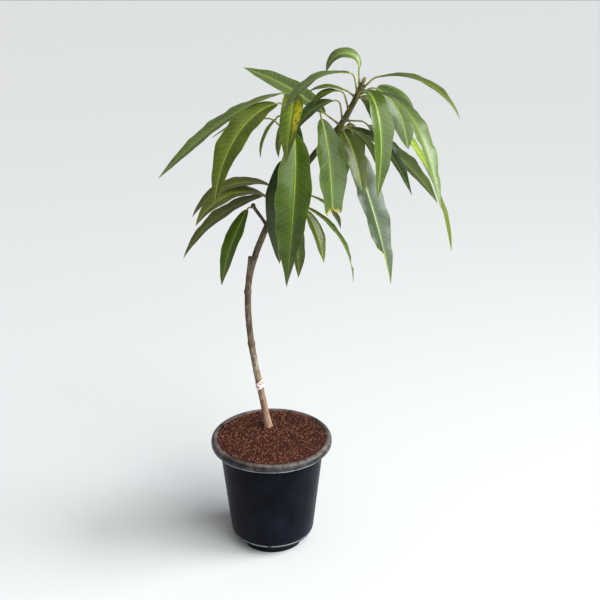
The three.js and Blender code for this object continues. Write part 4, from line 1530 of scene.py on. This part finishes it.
def soil_crumbs():
    draw = np.random.default_rng(7)
    count = CRUMBS["count"]
    radius = (SOIL["edge_radius"] - 1.0) * np.sqrt(draw.random(count))
    angle = draw.uniform(0, 2 * np.pi, count)
    x, y = radius * np.cos(angle), radius * np.sin(angle)
    size = CRUMBS["small"] + (CRUMBS["large"] - CRUMBS["small"]) * draw.random(count) ** 3.2
    z = soil_height(x, y) + size * draw.uniform(-0.1, 0.5, count)
    corners, faces = icosahedron()
    shape = corners[None] * (1 + draw.uniform(-0.28, 0.28, (count, 12, 1)))
    shape = shape * draw.uniform(0.65, 1.25, (count, 1, 3))
    shape = shape * size[:, None, None] + np.stack([x, y, z], -1)[:, None]
    every = (faces[None] + 12 * np.arange(count)[:, None, None]).reshape(-1, 3)
    slots = [DARK_SLOT, RED_SLOT, PALE_SLOT]
    colour = draw.choice(slots, size=count, p=CRUMBS["shares"])
    pile = Pile()
    pile.add(shape, every, np.repeat(colour, len(faces)))
    return pile.build("peat_crumbs", PEAT, sharp=20)


settle(soil_crumbs(), "soil")

# %% The fibres
FIBRES = {"count": 150, "points": 8, "sides": 4, "radius": 0.13, "lengths": (5, 15), "from_wall": 12}


def soil_fibres():
    draw = np.random.default_rng(11)
    pile = Pile()
    for _ in range(FIBRES["count"]):
        length = draw.uniform(*FIBRES["lengths"])
        radius = (SOIL["edge_radius"] - FIBRES["from_wall"]) * math.sqrt(draw.random())
        heading, bearing = draw.uniform(0, 2 * np.pi, 2)
        bend = draw.uniform(-1.6, 1.6)
        share = np.linspace(-0.5, 0.5, FIBRES["points"])
        turn = heading + bend * share
        steps = np.stack([np.cos(turn), np.sin(turn)], -1) * length / FIBRES["points"]
        flat = np.cumsum(steps, axis=0) + radius * np.array([math.cos(bearing), math.sin(bearing)])
        lift = 0.9 + draw.uniform(0, 1.2) * np.cos(np.pi * share)
        centres = np.column_stack([flat, soil_height(flat[:, 0], flat[:, 1]) + lift])
        side = np.column_stack([-np.sin(turn), np.cos(turn), 0 * turn])
        up = np.broadcast_to((0.0, 0.0, 1.0), side.shape)
        girth = FIBRES["radius"] * draw.uniform(0.7, 1.5) * np.cos(share * 2.4)
        tube = swept_tube(centres, side, up, girth, FIBRES["sides"])
        faces = grid_faces(FIBRES["points"], FIBRES["sides"], closed=True)[:, ::-1]
        pile.add(tube, faces, FIBRE_SLOT)
    return pile.build("peat_fibres", PEAT)


settle(soil_fibres(), "soil")

# %% [markdown]
# ## Floor, light and camera
#
# The plant stands on a plain pale floor in soft light, as in a bright room. A big window on the
# right gives the shadow its direction. It is made as a sun whose light comes out of a wide patch
# of sky, which keeps the shadow's edges soft at any distance, and a second, higher one lights the
# tops of the leaves. Wax shows what it mirrors, so a large pale panel stands in front on the
# right, and a dim room fills the rest. The camera looks down a little, from just above the crown.

# %% Floor and lights
FLOOR_SIZE = 400
WINDOW = {"source": (1.0, -0.02, 0.5), "strength": 2.5, "spread": 34, "colour": (0.93, 0.98, 1.0)}
SUN = {"source": (0.6, -0.48, 1.0), "strength": 1.25, "spread": 40, "colour": (1.0, 0.985, 0.96)}
PANEL = {"place": (1.5, -1.62, 1.1), "size": (2.6, 2.1), "power": 46, "colour": (0.92, 1.0, 0.97)}
ROOM = {"colour": (0.96, 0.975, 1.0), "strength": 0.3}
PICTURE = {"view_transform": "Standard", "gamma": 0.9, "exposure": 0.15}
AIM = (0.05, 0.0, 0.42)


def floor_finish():
    floor = Finish("floor_pale", Roughness=0.7, Specular_IOR_Level=0.25)
    floor.shader.inputs["Base Color"].default_value = (0.77, 0.77, 0.775, 1)
    return floor.material


def soft_sun(name, source, strength, spread, colour):
    """Light from far away that comes out of a wide patch of the sky, so its shadows are soft."""
    light = bpy.data.lights.new(name, "SUN")
    light.energy = strength
    light.angle = math.radians(spread)
    light.color = colour
    lamp = bpy.data.objects.new(name, light)
    lamp.rotation_euler = Vector(source).to_track_quat("Z", "Y").to_euler()
    bpy.context.scene.collection.objects.link(lamp)


def area_light(name, place, size, power, colour):
    """A bright panel that faces the plant."""
    light = bpy.data.lights.new(name, "AREA")
    light.shape = "RECTANGLE"
    light.size, light.size_y = size
    light.energy = power
    light.color = colour
    lamp = bpy.data.objects.new(name, light)
    lamp.location = place
    lamp.rotation_euler = (Vector(AIM) - Vector(place)).to_track_quat("-Z", "Y").to_euler()
    bpy.context.scene.collection.objects.link(lamp)


def studio():
    bpy.ops.mesh.primitive_plane_add(size=FLOOR_SIZE)
    floor = bpy.context.object
    floor.name = "floor"
    floor.data.materials.append(floor_finish())
    soft_sun("window", **WINDOW)
    soft_sun("sun", **SUN)
    area_light("panel", **PANEL)
    world = bpy.data.worlds.new("room")
    bpy.context.scene.world = world
    world.use_nodes = True
    background = world.node_tree.nodes["Background"]
    background.inputs["Color"].default_value = (*ROOM["colour"], 1)
    background.inputs["Strength"].default_value = ROOM["strength"]
    for setting, value in PICTURE.items():
        setattr(bpy.context.scene.view_settings, setting, value)


studio()
print("lights:", ", ".join(light.name for light in bpy.data.lights))

# %% Camera
CAMERA = {"place": (0.0472, -1.2186, 0.877), "down": 20.1, "focal_pixels": 830, "picture": 600}
SENSOR = 36
FARTHEST = 1000


def set_camera():
    data = bpy.data.cameras.new("camera")
    data.sensor_width = SENSOR
    data.lens = CAMERA["focal_pixels"] / CAMERA["picture"] * SENSOR
    data.clip_end = FARTHEST
    camera = bpy.data.objects.new("camera", data)
    camera.location = CAMERA["place"]
    camera.rotation_euler = (math.radians(90 - CAMERA["down"]), 0, 0)
    bpy.context.scene.collection.objects.link(camera)
    bpy.context.scene.camera = camera
    print(f"lens {data.lens:.1f} mm")


set_camera()

# %% [markdown]
